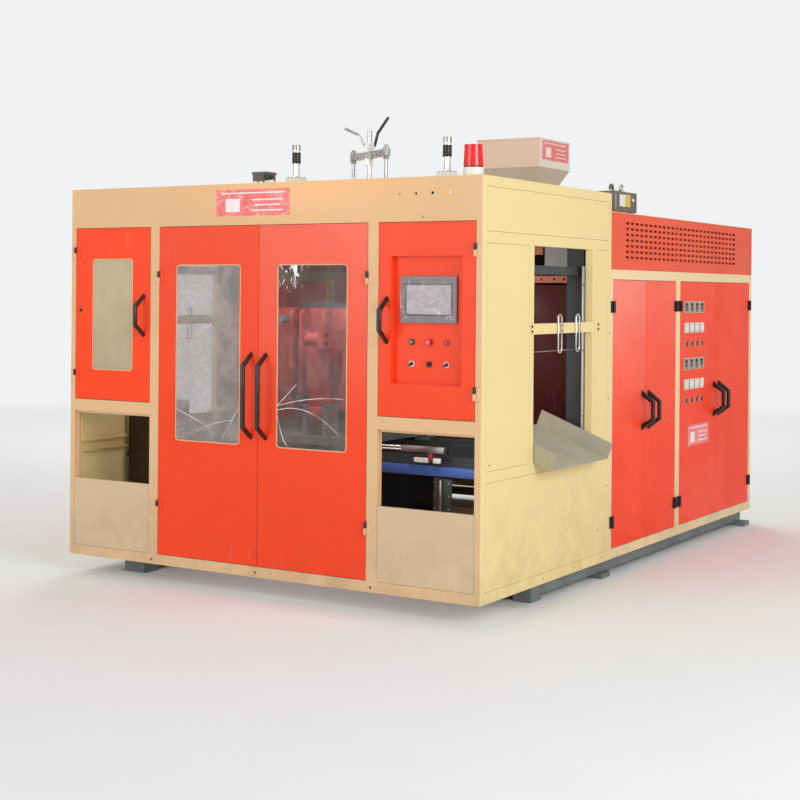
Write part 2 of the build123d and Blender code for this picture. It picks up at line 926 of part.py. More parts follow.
# Delivery chutes through the side openings
chute_low = opening_front + chute_clearance
chute_high = opening_back - chute_clearance
chute_turn = radians(chute_slope)
chute_plane = Plane(
    origin=(right_x, 0, up(side_opening_sill)),
    x_dir=(0, 1, 0),
    z_dir=(cos(chute_turn), 0, -sin(chute_turn)),
)
outer_run = chute_reach / cos(chute_turn)
inner_run = chute_inner_reach / cos(chute_turn)
with BuildPart() as chute:
    with BuildSketch(chute_plane.offset(-inner_run)):
        rectangle((chute_low, chute_high, 0, chute_flange))
        rectangle((chute_low + sheet, chute_high - sheet, sheet, chute_flange), Mode.SUBTRACT)
    extrude(amount=inner_run + outer_run)
    outer_corners = chute.edges().filter_by(Axis.Y).group_by(Axis.X)[-1]
    fillet(outer_corners.sort_by(Axis.Z)[-2:], 18)
save("chutes", chute.part, mirrored(chute.part))

# Inner frame that carries the shuttle rails, the blow units and the die head
post_top = head_beam_place - side_beam_height
head_beams = (
    (clamp_y - head_beam_gap / 2 - head_beam_width, clamp_y - head_beam_gap / 2),
    (clamp_y + head_beam_gap / 2, clamp_y + head_beam_gap / 2 + head_beam_width),
)
head_beam_sill = up(post_top + side_beam_height)
rear_half = inner_rear_post / 2
with BuildPart() as inner_frame:
    for side in (-1, 1):
        x = side * inner_half_width
        front_x = (x - inner_front_post / 2, x + inner_front_post / 2)
        front_posts = (depth(inner_front) - inner_front_post / 2, depth(inner_front) + inner_front_post / 2)
        block(front_x, front_posts, (up(0), up(post_top)))
        rear_posts = (depth(inner_rear) - rear_half, depth(inner_rear) + rear_half)
        block((x - rear_half, x + rear_half), rear_posts, (up(0), up(post_top)))
        block(front_x, (front_posts[0], rear_posts[1]), (up(post_top), up(post_top + side_beam_height)))
        mid_beam_z = (up(mid_beam_sill), up(mid_beam_sill + mid_beam_height))
        block(front_x, (front_posts[1], rear_posts[0]), mid_beam_z)
        block(front_x, (front_posts[0], rear_posts[1]), (up(0), up(50)))
    for beam in head_beams:
        block(
            (-inner_half_width - 30, inner_half_width + 30), beam,
            (head_beam_sill, head_beam_sill + head_beam_height),
        )
    for y in (inner_front, inner_rear):
        beam = (depth(y) - rail_beam_width / 2, depth(y) + rail_beam_width / 2)
        rail_beam_z = (up(rail_beam_top - rail_beam_height), up(rail_beam_top))
        block((-inner_half_width, inner_half_width), beam, rail_beam_z)
        rail = (depth(y) - rail_width / 2, depth(y) + rail_width / 2)
        block((-rail_reach, rail_reach), rail, (up(rail_beam_top), up(rail_beam_top + rail_height)))
save("inner_frame", inner_frame.part)

# Shuttle that carries both clamps from station to station
rail_top = up(rail_beam_top + rail_height)
plate_sill = up(rail_beam_top + shoe_height)
plate_top = plate_sill + shuttle_plate
end_plate_y = (depth(1395), depth(1395 + end_plate))
unit_centres = {"left": -station_pitch, "right": 0}
shuttle_low = unit_centres["left"] - unit_width / 2
shuttle_high = unit_centres["right"] + unit_width / 2
platen_bottom = up(platen_sill)
pivot = (depth(rocker_pivot_depth), up(rocker_pivot_height))
clamp_rod_radius = 28
rod_bore = clamp_rod_radius + tie_bar_clearance
bracket_width = 30
lug_x = (0, 40)
piston_y = depth(640)
piston_height = 560
piston_rod_radius = 14
piston_barrel_start = lug_x[1] + station_pitch + 14
tie_bar_middle = (tie_bar_low + tie_bar_high) / 2
tie_bar_places = ((-tie_bar_half_span, tie_bar_low), (tie_bar_half_span, tie_bar_high))

with BuildPart() as shuttle_frame:
    block((shuttle_low, shuttle_high), (depth(460), end_plate_y[1]), (plate_sill, plate_top))
    for y in (inner_front, inner_rear):
        for x in (shuttle_low + shoe_length / 2, shuttle_high - shoe_length / 2):
            with BuildSketch(Plane.YZ.offset(x - shoe_length / 2)):
                rectangle((depth(y) - 34, depth(y) + 34, up(rail_beam_top + 4), plate_sill))
                rectangle(
                    (
                        depth(y) - rail_width / 2 - shoe_clearance,
                        depth(y) + rail_width / 2 + shoe_clearance,
                        up(rail_beam_top),
                        rail_top + shoe_clearance,
                    ),
                    Mode.SUBTRACT,
                )
            extrude(amount=shoe_length)
    for x in unit_centres.values():
        with BuildSketch(Plane.XZ.offset(-end_plate_y[0])):
            rectangle((x - unit_width / 2, x + unit_width / 2, plate_top, up(1390)))
            with Locations((x, up(tie_bar_middle))):
                RegularPolygon(rod_bore, bar_sides, mode=Mode.SUBTRACT)
        extrude(amount=-end_plate)
        for bracket in (x - rocker_width / 2 - 3 - bracket_width, x + rocker_width / 2 + 3):
            with BuildSketch(Plane.YZ.offset(bracket)):
                rectangle((pivot[0] - 55, pivot[0] + 55, plate_top, pivot[1] + 45))
                with Locations(pivot):
                    RegularPolygon(
                        pivot_pin_radius + tie_bar_clearance, bar_sides, major_radius=False, mode=Mode.SUBTRACT
                    )
            extrude(amount=bracket_width)
        with BuildSketch(Plane.XZ.offset(-depth(620))):
            for bar_x, bar_z in tie_bar_places:
                with Locations((x + bar_x, up(bar_z))):
                    RegularPolygon(tie_bar_radius, bar_sides)
        extrude(amount=-(end_plate_y[0] - depth(620)))
    block(lug_x, (piston_y - 30, piston_y + 30), (up(piston_height - 30), plate_sill))
    with BuildSketch(Plane.YZ.offset(lug_x[1])):
        with Locations((piston_y, up(piston_height))):
            RegularPolygon(piston_rod_radius, bar_sides)
    extrude(amount=piston_barrel_start + 26 - lug_x[1])
save("shuttle_frame", shuttle_frame.part)


# Clamp platens
def platen(x, inner_y, side):
    """A ribbed platen casting, with its flat face to the given side and its ribs on the other."""
    outer_y = inner_y - side * platen_thickness
    rib_y = outer_y - side * platen_rib
    plate = tuple(sorted((inner_y, outer_y)))
    with BuildPart() as casting:
        with BuildSketch(Plane.XZ.offset(-plate[0])):
            plate_x = (x - platen_width / 2, x + platen_width / 2)
            rectangle((*plate_x, platen_bottom, platen_bottom + platen_height))
        extrude(amount=-platen_thickness)
        for rib_x in (-platen_width / 2 + 10, -70, 70, platen_width / 2 - 10):
            with BuildSketch(Plane.YZ.offset(x + rib_x - 10)):
                rectangle((*sorted((outer_y, rib_y)), platen_bottom + 20, platen_bottom + platen_height))
            extrude(amount=20)
        if side > 0:
            rib_ends = casting.edges().filter_by(Axis.X).filter_by_position(Axis.Y, rib_y - 1, rib_y + 1)
            fillet(rib_ends.group_by(Axis.Z)[-1], 45)
        with BuildSketch(Plane.XZ.offset(-plate[0] + 1)):
            for bar_x, bar_z in tie_bar_places:
                with Locations((x + bar_x, up(bar_z))):
                    RegularPolygon(tie_bar_radius + tie_bar_clearance, bar_sides)
        extrude(amount=-platen_thickness - 2, mode=Mode.SUBTRACT)
        with BuildSketch(Plane.XZ.offset(-inner_y)):
            with Locations((x, up(tie_bar_middle))):
                with GridLocations(mould_bolt_spacing, 1, 2, 1):
                    Circle(mould_bolt_radius)
        extrude(amount=side * 35, mode=Mode.SUBTRACT)
    return casting.part


rocker_swing = degrees(atan2(platen_stroke / 2, rocker_length))
pin_rest = (pivot[0] - platen_stroke / 2, pivot[1] + rocker_length * cos(radians(rocker_swing)))
front_inner = clamp_y - platen_open
rear_inner = clamp_y + platen_open
slot_half = rocker_pin_radius + rocker_slot_clearance
lug_width = 26
for unit, x in unit_centres.items():
    with BuildPart() as front_platen:
        add(platen(x, front_inner, 1))
        for start in (x - rocker_width / 2 - 4 - lug_width, x + rocker_width / 2 + 4):
            with BuildSketch(Plane.YZ.offset(start)):
                lug_y = (pin_rest[0] - 42, front_inner - platen_thickness)
                rectangle((*lug_y, pin_rest[1] - 48, pin_rest[1] + 52))
                rectangle(
                    (pin_rest[0] - slot_half, pin_rest[0] + slot_half, pin_rest[1] - 30, pin_rest[1] + 34),
                    Mode.SUBTRACT,
                )
            extrude(amount=lug_width)
    save(f"{unit}_front_platen", front_platen.part)
    with BuildPart() as rear_platen:
        add(platen(x, rear_inner, -1))
        with BuildSketch(Plane.XZ.offset(-(rear_inner + platen_thickness))):
            with Locations((x, up(tie_bar_middle))):
                RegularPolygon(clamp_rod_radius, bar_sides)
        extrude(amount=-(end_plate_y[1] - rear_inner - platen_thickness + platen_stroke - 60))
    save(f"{unit}_rear_platen", rear_platen.part)
    with BuildPart() as rocker:
        with BuildSketch(Plane.YZ.offset(x - rocker_width / 2)):
            with BuildLine():
                Polyline(
                    (pivot[0] - rocker_lower_radius * 0.75, pivot[1]),
                    (pin_rest[0] - rocker_upper_radius * 0.75, pin_rest[1]),
                    (pin_rest[0] + rocker_upper_radius * 0.75, pin_rest[1]),
                    (pivot[0] + rocker_lower_radius * 0.75, pivot[1]),
                    close=True,
                )
            make_face()
            with Locations(pivot):
                Circle(rocker_lower_radius)
            with Locations(pin_rest):
                Circle(rocker_upper_radius)
        extrude(amount=rocker_width)
        with BuildSketch(Plane.YZ.offset(x - rocker_width / 2 - rocker_pin_reach)):
            with Locations(pivot):
                RegularPolygon(pivot_pin_radius, bar_sides)
        extrude(amount=rocker_width + 2 * rocker_pin_reach)
        with BuildSketch(Plane.YZ.offset(x - rocker_width / 2 - rocker_pin_reach)):
            with Locations(pin_rest):
                RegularPolygon(rocker_pin_radius, bar_sides)
        extrude(amount=rocker_width + 2 * rocker_pin_reach)
    save(f"{unit}_rocker", rocker.part)

# Blow units over the two stations
cylinder_flange = (head_beam_sill - 15, head_beam_sill)
cylinder_bottom = head_beam_sill - blow_cylinder_drop
cylinders = []
for x, y in blow_places:
    with BuildPart() as cylinder:
        block((x - 90, x + 90), (y - 95, y + 95), cylinder_flange)
        with BuildSketch(Plane.XY.offset(cylinder_bottom)):
            with Locations((x, y)):
                RegularPolygon(42, bar_sides)
        extrude(amount=cylinder_flange[0] - cylinder_bottom)
        with BuildSketch(Plane.XY.offset(cylinder_flange[1])):
            with Locations((x, y)):
                Rectangle(blow_block / 2 - 6, blow_block / 2 - 6)
        extrude(amount=roof_top - cylinder_flange[1])
        with BuildSketch(Plane.XY.offset(roof_top)):
            with Locations((x, y)):
                Rectangle(blow_block, blow_block)
        extrude(amount=up(front_height + blow_flange_top) - roof_top)
        with BuildSketch(Plane.XY.offset(cylinder_bottom)):
            with Locations((x, y)):
                Circle(blow_rod_radius + blow_rod_clearance)
        extrude(amount=up(front_height + blow_flange_top) - cylinder_bottom, mode=Mode.SUBTRACT)
    cylinders.append(cylinder.part)
save("blow_cylinders", *cylinders)

rod_shoulder = up(front_height + blow_flange_top) + blow_stroke + 2
pin_tip = head_beam_sill - blow_pin_drop
blow_head_radius = 24
blow_head_height = 112
for unit, (x, y) in zip(("left", "right"), blow_places):
    with BuildPart() as blow_rod:
        for start, end, radius in (
            (pin_tip + blow_pin_length, rod_shoulder, blow_rod_radius),
            (rod_shoulder, rod_shoulder + blow_head_height, blow_head_radius),
        ):
            with BuildSketch(Plane.XY.offset(start)):
                with Locations((x, y)):
                    Circle(radius)
            extrude(amount=end - start)
        with BuildSketch(Plane.XY.offset(pin_tip)):
            with Locations((x, y)):
                RegularPolygon(blow_pin_radius, button_sides)
        extrude(amount=blow_pin_length)
    save(f"{unit}_blow_rod", blow_rod.part)

# Extruder: die head, barrel, gearbox and motor
core_bore = 20
die_bore = 38
die_drop = 465
die_length = 50
die_radius = 58
head_radius = 110
head_neck_length = 120
head_flange_half = 90
head_neck_half = 45
die_bottom = head_beam_sill - die_drop
head_top = cylinder_flange[0] - head_neck_length
pipe_length = 110
head_pipe_radius = barrel_radius - 4
with BuildPart() as die_head:
    for start, end, radius in (
        (die_bottom, die_bottom + die_length, die_radius),
        (die_bottom + die_length, head_top, head_radius),
    ):
        with BuildSketch(Plane.XY.offset(start)):
            with Locations((0, clamp_y)):
                RegularPolygon(radius, large_sides)
        extrude(amount=end - start)
    for start, end, half in (
        (head_top, cylinder_flange[0], head_neck_half),
        (*cylinder_flange, head_flange_half),
    ):
        block((-half, half), (clamp_y - half, clamp_y + half), (start, end))
    with BuildSketch(Plane.XZ.offset(-(clamp_y + pipe_length - 20))):
        with Locations((0, up(barrel_height))):
            RegularPolygon(head_pipe_radius, bar_sides)
    extrude(amount=-pipe_length)
    for start, end, radius in (
        (die_bottom, die_bottom + die_length, die_bore),
        (die_bottom, cylinder_flange[1], core_bore + core_clearance),
    ):
        with BuildSketch(Plane.XY.offset(start)):
            with Locations((0, clamp_y)):
                Circle(radius)
        extrude(amount=end - start, mode=Mode.SUBTRACT)
save("die_head", die_head.part)

barrel_start = clamp_y + 200
feed_front = hopper_y - feed_block / 2
feed_back = hopper_y + feed_block / 2
cover_y = (barrel_start + barrel_cover_inset, feed_front - barrel_cover_inset)
with BuildPart() as extruder_barrel:
    with BuildSketch(Plane.XZ.offset(-barrel_start)):
        with Locations((0, up(barrel_height))):
            Circle(barrel_radius)
    extrude(amount=-(feed_front - barrel_start))
    cover_z = (up(barrel_height) - barrel_cover, up(barrel_height) + barrel_cover)
    block((-barrel_cover, barrel_cover), cover_y, cover_z)
    half_block = feed_block / 2
    block_z = (up(barrel_height - half_block), up(barrel_height + half_block))
    block((-half_block, half_block), (feed_front, feed_back), block_z)
    with BuildSketch(Plane.XY.offset(up(barrel_height + half_block))):
        with Locations((0, hopper_y)):
            Rectangle(hopper_neck_width - 2 * sheet, hopper_neck_width - 2 * sheet)
    extrude(amount=-half_block, mode=Mode.SUBTRACT)
save("extruder_barrel", extruder_barrel.part)

gearbox_bottom = up(stand_sill + stand_beam)
gearbox_top = up(barrel_height + 160)
with BuildPart() as gearbox:
    with BuildSketch(Plane.XZ.offset(-feed_back)):
        with Locations((0, (gearbox_bottom + gearbox_top) / 2)):
            RectangleRounded(360, gearbox_top - gearbox_bottom, 40)
    extrude(amount=-gearbox_length)
    block((-210, 210), (feed_back, feed_back + gearbox_length), (gearbox_bottom, gearbox_bottom + 24))
    block((-190, 190), (feed_back + 150, feed_back + 175), (gearbox_bottom + 60, gearbox_top - 60))
save("gearbox", gearbox.part)

motor_height = stand_sill + stand_beam + 170
motor_radius = 118
motor_length = 560
with BuildPart() as drive_motor:
    with BuildSketch(Plane.XZ.offset(-(feed_back - motor_length))):
        with Locations((0, up(motor_height))):
            RegularPolygon(motor_radius, large_sides)
    extrude(amount=-(motor_length - 40))
    with BuildSketch(Plane.XZ.offset(-(feed_back - 40))):
        with Locations((0, up(motor_height))):
            RegularPolygon(motor_radius + 20, large_sides)
    extrude(amount=-40)
    with BuildSketch(Plane.XZ.offset(-(feed_back - motor_length + 60))):
        rectangle((-110, 110, gearbox_bottom, up(motor_height)))
    extrude(amount=-90)
save("drive_motor", drive_motor.part)

# Hopper on its neck over the feed throat
neck_bottom = up(barrel_height + feed_block / 2)


def funnel(width, neck):
    """The square funnel between the hopper's box and its neck, solid, for an outer or an inner width."""
    with BuildPart() as tapered:
        for plane, centre, mode in (
            (Plane.XZ.offset(-hopper_y), 0, Mode.ADD),
            (Plane.YZ, hopper_y, Mode.INTERSECT),
        ):
            with BuildSketch(plane):
                with BuildLine():
                    Polyline(
                        (centre - neck / 2, up(hopper_neck_top)),
                        (centre + neck / 2, up(hopper_neck_top)),
                        (centre + width / 2, up(hopper_box_sill)),
                        (centre - width / 2, up(hopper_box_sill)),
                        close=True,
                    )
                make_face()
            extrude(amount=width / 2, both=True, mode=mode)
    return tapered.part


with BuildPart() as hopper:
    for inset, mode in ((0, Mode.ADD), (sheet, Mode.SUBTRACT)):
        width = hopper_width - 2 * inset
        neck = hopper_neck_width - 2 * inset
        with BuildSketch(Plane.XY.offset(up(hopper_box_sill))):
            with Locations((0, hopper_y)):
                Rectangle(width, width)
        extrude(amount=hopper_box_height, mode=mode)
        add(funnel(width, neck), mode=mode)
        with BuildSketch(Plane.XY.offset(neck_bottom)):
            with Locations((0, hopper_y)):
                Rectangle(neck, neck)
        extrude(amount=up(hopper_neck_top) - neck_bottom, mode=mode)
    with BuildSketch(Plane.XY.offset(neck_bottom)):
        with Locations((0, hopper_y)):
            Rectangle(hopper_neck_width + 70, hopper_neck_width + 70)
            Rectangle(hopper_neck_width - 2 * sheet, hopper_neck_width - 2 * sheet, mode=Mode.SUBTRACT)
    extrude(amount=8)
save("hopper", hopper.part)

# Core adjuster above the die head: posts, yoke, screw and the hand nut with its levers
yoke_bottom = up(yoke_height - yoke_thickness / 2)
yoke_top = yoke_bottom + yoke_thickness
nut_neck = 21
yoke_plane = Plane(
    origin=(0, clamp_y, 0),
    x_dir=(cos(radians(yoke_turn)), sin(radians(yoke_turn)), 0),
    z_dir=(0, 0, 1),
)
with BuildPart() as lift_frame:
    with BuildSketch(yoke_plane.offset(yoke_bottom)):
        Rectangle(2 * yoke_half_length, yoke_width)
        RegularPolygon(yoke_width, yoke_sides)
        with Locations((-yoke_half_length, 0), (yoke_half_length, 0)):
            RegularPolygon(yoke_end_radius, yoke_sides)
        Circle(nut_neck + core_clearance, mode=Mode.SUBTRACT)
    extrude(amount=yoke_thickness)
    with BuildSketch(yoke_plane.offset(head_beam_sill + head_beam_height)):
        with Locations((-yoke_half_length, 0), (yoke_half_length, 0)):
            RegularPolygon(post_radius, bar_sides)
    extrude(amount=yoke_top + 22 - head_beam_sill - head_beam_height)
save("lift_frame", lift_frame.part)

core_tip_radius = 34
core_tip_length = 20
core_shoulder = cylinder_flange[0] - 90
with BuildPart() as core_screw:
    for start, end, radius in (
        (die_bottom + 2, die_bottom + core_tip_length, core_tip_radius),
        (die_bottom + core_tip_length, core_shoulder, core_bore),
        (core_shoulder, up(core_top), core_screw_radius),
    ):
        with BuildSketch(Plane.XY.offset(start)):
            with Locations((0, clamp_y)):
                Circle(radius)
        extrude(amount=end - start)
save("core_screw", core_screw.part)

lever_radius = 8
lever_sides = 6
lever_turn = 31.5
lever_plane = Plane(
    origin=(0, clamp_y, 0),
    x_dir=(cos(radians(lever_turn)), sin(radians(lever_turn)), 0),
    z_dir=(sin(radians(lever_turn)), -cos(radians(lever_turn)), 0),
)
nut_gap = 0.5
nut_radius = 30
nut_height = 50
with BuildPart() as hand_nut:
    for start, end in ((yoke_bottom - 40, yoke_bottom - nut_gap), (yoke_top + nut_gap, yoke_top + nut_height)):
        with BuildSketch(Plane.XY.offset(start)):
            with Locations((0, clamp_y)):
                RegularPolygon(nut_radius, 6)
        extrude(amount=end - start)
    with BuildSketch(Plane.XY.offset(yoke_bottom - nut_gap)):
        with Locations((0, clamp_y)):
            Circle(nut_neck)
    extrude(amount=yoke_thickness + 2 * nut_gap)
    with BuildSketch(Plane.XY.offset(yoke_bottom - 40)):
        with Locations((0, clamp_y)):
            Circle(core_screw_radius + core_clearance)
    extrude(amount=yoke_thickness + nut_height + 40, mode=Mode.SUBTRACT)
    for points in (
        ((24, yoke_top + 20), (46, yoke_top + 107), (104, yoke_top + 195)),
        ((-24, yoke_top + 30), (-62, yoke_top + 95), (-140, yoke_top + 131)),
    ):
        with BuildLine(lever_plane) as lever_line:
            Polyline(*points)
        with BuildSketch(Plane(origin=lever_line.line @ 0, z_dir=lever_line.line % 0)):
            RegularPolygon(lever_radius, lever_sides)
        sweep(path=lever_line.line, transition=Transition.RIGHT)
save("hand_nut", hand_nut.part)

# Beacon, junction box and transformer on the roofs
beacon_place = (half_width - 118, depth(122))
beacon_base_radius = 52
beacon_base_height = 50
beacon_lens_radius = 50
beacon_height = 152
with BuildPart() as beacon:
    for start, end, radius in (
        (roof_top, roof_top + beacon_base_height, beacon_base_radius),
        (roof_top + beacon_base_height, roof_top + beacon_height, beacon_lens_radius),
    ):
        with BuildSketch(Plane.XY.offset(start)):
            with Locations(beacon_place):
                RegularPolygon(radius, large_sides)
        extrude(amount=end - start)
save("beacon", beacon.part)

with BuildPart() as junction_box:
    with BuildSketch(Plane.XY.offset(roof_top)):
        rectangle((-501, -403, depth(600), depth(690)))
    extrude(amount=112)
    fillet(junction_box.edges().filter_by(Axis.Z), 6)
save("junction_box", junction_box.part)

rear_roof_top = up(rear_height) + sheet
with BuildPart() as transformer:
    with BuildSketch(Plane.XY.offset(rear_roof_top + 26)):
        rectangle((half_width - 300, half_width - 152, depth(1880), depth(2195)))
    extrude(amount=116)
    with BuildSketch(Plane.XY.offset(rear_roof_top)):
        for y in (1900, 2010, 2120):
            rectangle((half_width - 295, half_width - 157, depth(y), depth(y + 55)))
    extrude(amount=26)
    with BuildSketch(Plane.YZ.offset(half_width - 212)):
        with Locations((depth(1950), rear_roof_top + 162)):
            RegularPolygon(26, 8)
            RegularPolygon(15, 8, mode=Mode.SUBTRACT)
    extrude(amount=12)
save("transformer", transformer.part)

# Hydraulic unit: tank, pump motor, valve stack and the shuttle's cylinder
tank = ((-1060, -360), (depth(1760), depth(2400)))
with BuildPart() as oil_tank:
    block(tank[0], tank[1], (up(0), up(430)))
    block((-1075, -345), (depth(1745), depth(2415)), (up(430), up(442)))
    with BuildSketch(Plane.XZ.offset(-depth(1820))):
        with Locations((-560, up(442 + 118))):
            RegularPolygon(105, large_sides)
        rectangle((-640, -480, up(442), up(500)))
    extrude(amount=-380)
    block((-960, -800), (depth(1850), depth(2150)), (up(442), up(560)))
with BuildPart() as valve_stack:
    stack_x = inner_half_width - 245
    block((stack_x - 95, stack_x + 95), (depth(560), depth(860)), (up(0), up(60)))
    block((stack_x - 65, stack_x + 65), (depth(600), depth(820)), (up(60), up(300)))
    block((stack_x - 115, stack_x + 115), (depth(630), depth(680)), (up(220), up(270)))
    block((stack_x - 115, stack_x + 115), (depth(730), depth(780)), (up(120), up(170)))
with BuildPart() as piston_barrel:
    with BuildSketch(Plane.YZ.offset(piston_barrel_start)):
        with Locations((piston_y, up(piston_height))):
            RegularPolygon(32, bar_sides)
    extrude(amount=inner_half_width - 60 - piston_barrel_start)
    with BuildSketch(Plane.YZ.offset(piston_barrel_start)):
        with Locations((piston_y, up(piston_height))):
            RegularPolygon(piston_rod_radius + tie_bar_clearance, bar_sides)
    extrude(amount=inner_half_width - 64 - piston_barrel_start, mode=Mode.SUBTRACT)
    for x in (piston_barrel_start + 10, inner_half_width - 110):
        strut_y = (depth(inner_front) + rail_beam_width / 2, piston_y - 20)
        block((x, x + 24), strut_y, (up(piston_height - 20), up(piston_height + 20)))
save("hydraulic_unit", oil_tank.part, valve_stack.part, piston_barrel.part)

# Plate with the switchgear behind the instrument doors
plate_x = half_width - 335
plate_middle = (beam_y[0] + end_y[1]) / 2
with BuildPart() as electrical_plate:
    plate_y = (beam_y[0] + 10, end_y[1] - 10)
    block((plate_x - sheet, plate_x), plate_y, (up(bottom_rail), up(stand_sill - stand_beam)))
    with BuildSketch(Plane.YZ.offset(plate_x)):
        with Locations((plate_middle, up(850)), (plate_middle, up(560))):
            with GridLocations(220, 1, 4, 1):
                Rectangle(190, 130)
        with Locations((plate_middle, up(280))):
            with GridLocations(420, 1, 2, 1):
                Rectangle(340, 170)
    extrude(amount=90)
save("electrical_plate", electrical_plate.part)
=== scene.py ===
"""Looks of a double-station blow moulding machine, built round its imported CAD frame.

Metres, in the CAD frame: X to the right along the front, Y to the back, Z up from the floor.
"""

import math

import bpy
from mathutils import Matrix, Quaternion, Vector


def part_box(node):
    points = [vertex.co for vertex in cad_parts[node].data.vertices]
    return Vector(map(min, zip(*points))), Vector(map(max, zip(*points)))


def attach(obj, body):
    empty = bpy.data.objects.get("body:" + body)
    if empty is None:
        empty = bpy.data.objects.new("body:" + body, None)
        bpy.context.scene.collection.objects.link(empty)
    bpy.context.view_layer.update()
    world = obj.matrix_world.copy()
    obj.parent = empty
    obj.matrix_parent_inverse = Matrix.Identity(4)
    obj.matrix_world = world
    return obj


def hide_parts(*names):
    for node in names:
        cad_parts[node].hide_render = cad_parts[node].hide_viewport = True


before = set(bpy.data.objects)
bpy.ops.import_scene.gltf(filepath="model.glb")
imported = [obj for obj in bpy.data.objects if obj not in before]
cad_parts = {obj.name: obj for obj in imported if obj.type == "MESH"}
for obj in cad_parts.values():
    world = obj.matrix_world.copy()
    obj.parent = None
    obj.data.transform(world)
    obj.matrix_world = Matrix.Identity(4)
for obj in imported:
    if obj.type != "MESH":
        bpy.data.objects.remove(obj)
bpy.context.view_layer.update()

bl_info = {
    "name": "Blow moulding machine looks",
    "version": (1, 0),
    "blender": (4, 5, 0),
    "location": "View3D > Sidebar > Machine",
    "description": "Paints, fittings, instruments and stage for a blow moulding machine",
    "category": "Object",
}

# Places read from the frame
frame_low, frame_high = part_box("front_frame")
face_y = frame_low.y
side_x = frame_high.x
sill_z = frame_low.z
rear_start, rear_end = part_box("vent_panels")[0].y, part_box("vent_panels")[1].y
vent_low, vent_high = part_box("vent_panels")
roof_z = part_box("roof_sheets")[1].z
rear_roof_z = vent_high.z + 0.003
recess_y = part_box("touch_screen")[0].y + 0.012
pane_lap = 0.015

facings = {
    "up": (0, 0, 0),
    "front": (math.pi / 2, 0, 0),
    "right": (math.pi / 2, 0, math.pi / 2),
    "left": (math.pi / 2, 0, -math.pi / 2),
    "back": (math.pi / 2, 0, math.pi),
}


def tint(red, green, blue):
    """A colour chart value, each part from 0 to 255, as the linear colour that Blender keeps."""
    parts = []
    for part in (red, green, blue):
        part /= 255
        parts.append(part / 12.92 if part <= 0.04045 else ((part + 0.055) / 1.055) ** 2.4)
    return tuple(parts)


def opaque(colour):
    """A colour with full cover."""
    return (*colour[:3], 1.0)


# Modelling by hand
def clear_selection():
    """Leave edit mode and let go of everything."""
    if bpy.context.mode != "OBJECT":
        bpy.ops.object.mode_set(mode="OBJECT")
    bpy.ops.object.select_all(action="DESELECT")


def work_on(piece):
    """Select one piece alone."""
    clear_selection()
    piece.select_set(True)
    bpy.context.view_layer.objects.active = piece


def settle(piece):
    """Put a piece's place, turn and scale into its mesh."""
    work_on(piece)
    bpy.ops.object.transform_apply(location=True, rotation=True, scale=True)


def modify(piece, kind, **settings):
    """Add a modifier with its settings and apply it."""
    work_on(piece)
    modifier = piece.modifiers.new("shaping", kind)
    for name, value in settings.items():
        setattr(modifier, name, value)
    bpy.ops.object.modifier_apply(modifier=modifier.name)


def round_edges(piece, width, steps=2, angle=40):
    """Round the sharp edges of a piece."""
    modify(piece, "BEVEL", width=width, segments=steps, limit_method="ANGLE", angle_limit=math.radians(angle))


def block(name, low, high, rounding=0.0, steps=2):
    """A box between two corners."""
    clear_selection()
    bpy.ops.mesh.primitive_cube_add(size=1, location=[(a + b) / 2 for a, b in zip(low, high)])
    piece = bpy.context.object
    piece.name = name
    piece.scale = [b - a for a, b in zip(low, high)]
    settle(piece)
    if rounding:
        round_edges(piece, rounding, steps)
    return piece


def drum(name, middle, radius, length, axis="Z", sides=32, rounding=0.0, tip=None, steps=2):
    """A round bar about its middle, or a cone if its tip has another radius."""
    clear_selection()
    turn = {"X": (0, math.pi / 2, 0), "Y": (math.pi / 2, 0, 0), "Z": (0, 0, 0)}[axis]
    bpy.ops.mesh.primitive_cone_add(
        vertices=sides, radius1=radius, radius2=radius if tip is None else tip,
        depth=length, location=middle, rotation=turn,
    )
    piece = bpy.context.object
    piece.name = name
    settle(piece)
    if rounding:
        round_edges(piece, rounding, steps)
    return piece


def rod_between(name, start, end, radius, sides=18):
    """A straight round rod from point to point with softly rounded ends."""
    way = Vector(end) - Vector(start)
    clear_selection()
    bpy.ops.mesh.primitive_cylinder_add(
        vertices=sides, radius=radius, depth=way.length + radius * 0.8, location=(Vector(start) + Vector(end)) / 2,
        rotation=way.to_track_quat("Z", "Y").to_euler(),
    )
    piece = bpy.context.object
    piece.name = name
    settle(piece)
    round_edges(piece, radius * 0.35)
    return piece


def sleeve(name, middle, radius, length, wall, axis="Z", sides=40, rounding=0.0):
    """A round tube with a wall inside its radius."""
    clear_selection()
    turn = {"X": (0, math.pi / 2, 0), "Y": (math.pi / 2, 0, 0), "Z": (0, 0, 0)}[axis]
    bpy.ops.mesh.primitive_cylinder_add(
        vertices=sides, radius=radius, depth=length, location=middle, rotation=turn, end_fill_type="NOTHING",
    )
    piece = bpy.context.object
    piece.name = name
    settle(piece)
    modify(piece, "SOLIDIFY", thickness=wall, offset=-1)
    if rounding:
        round_edges(piece, rounding)
    return piece


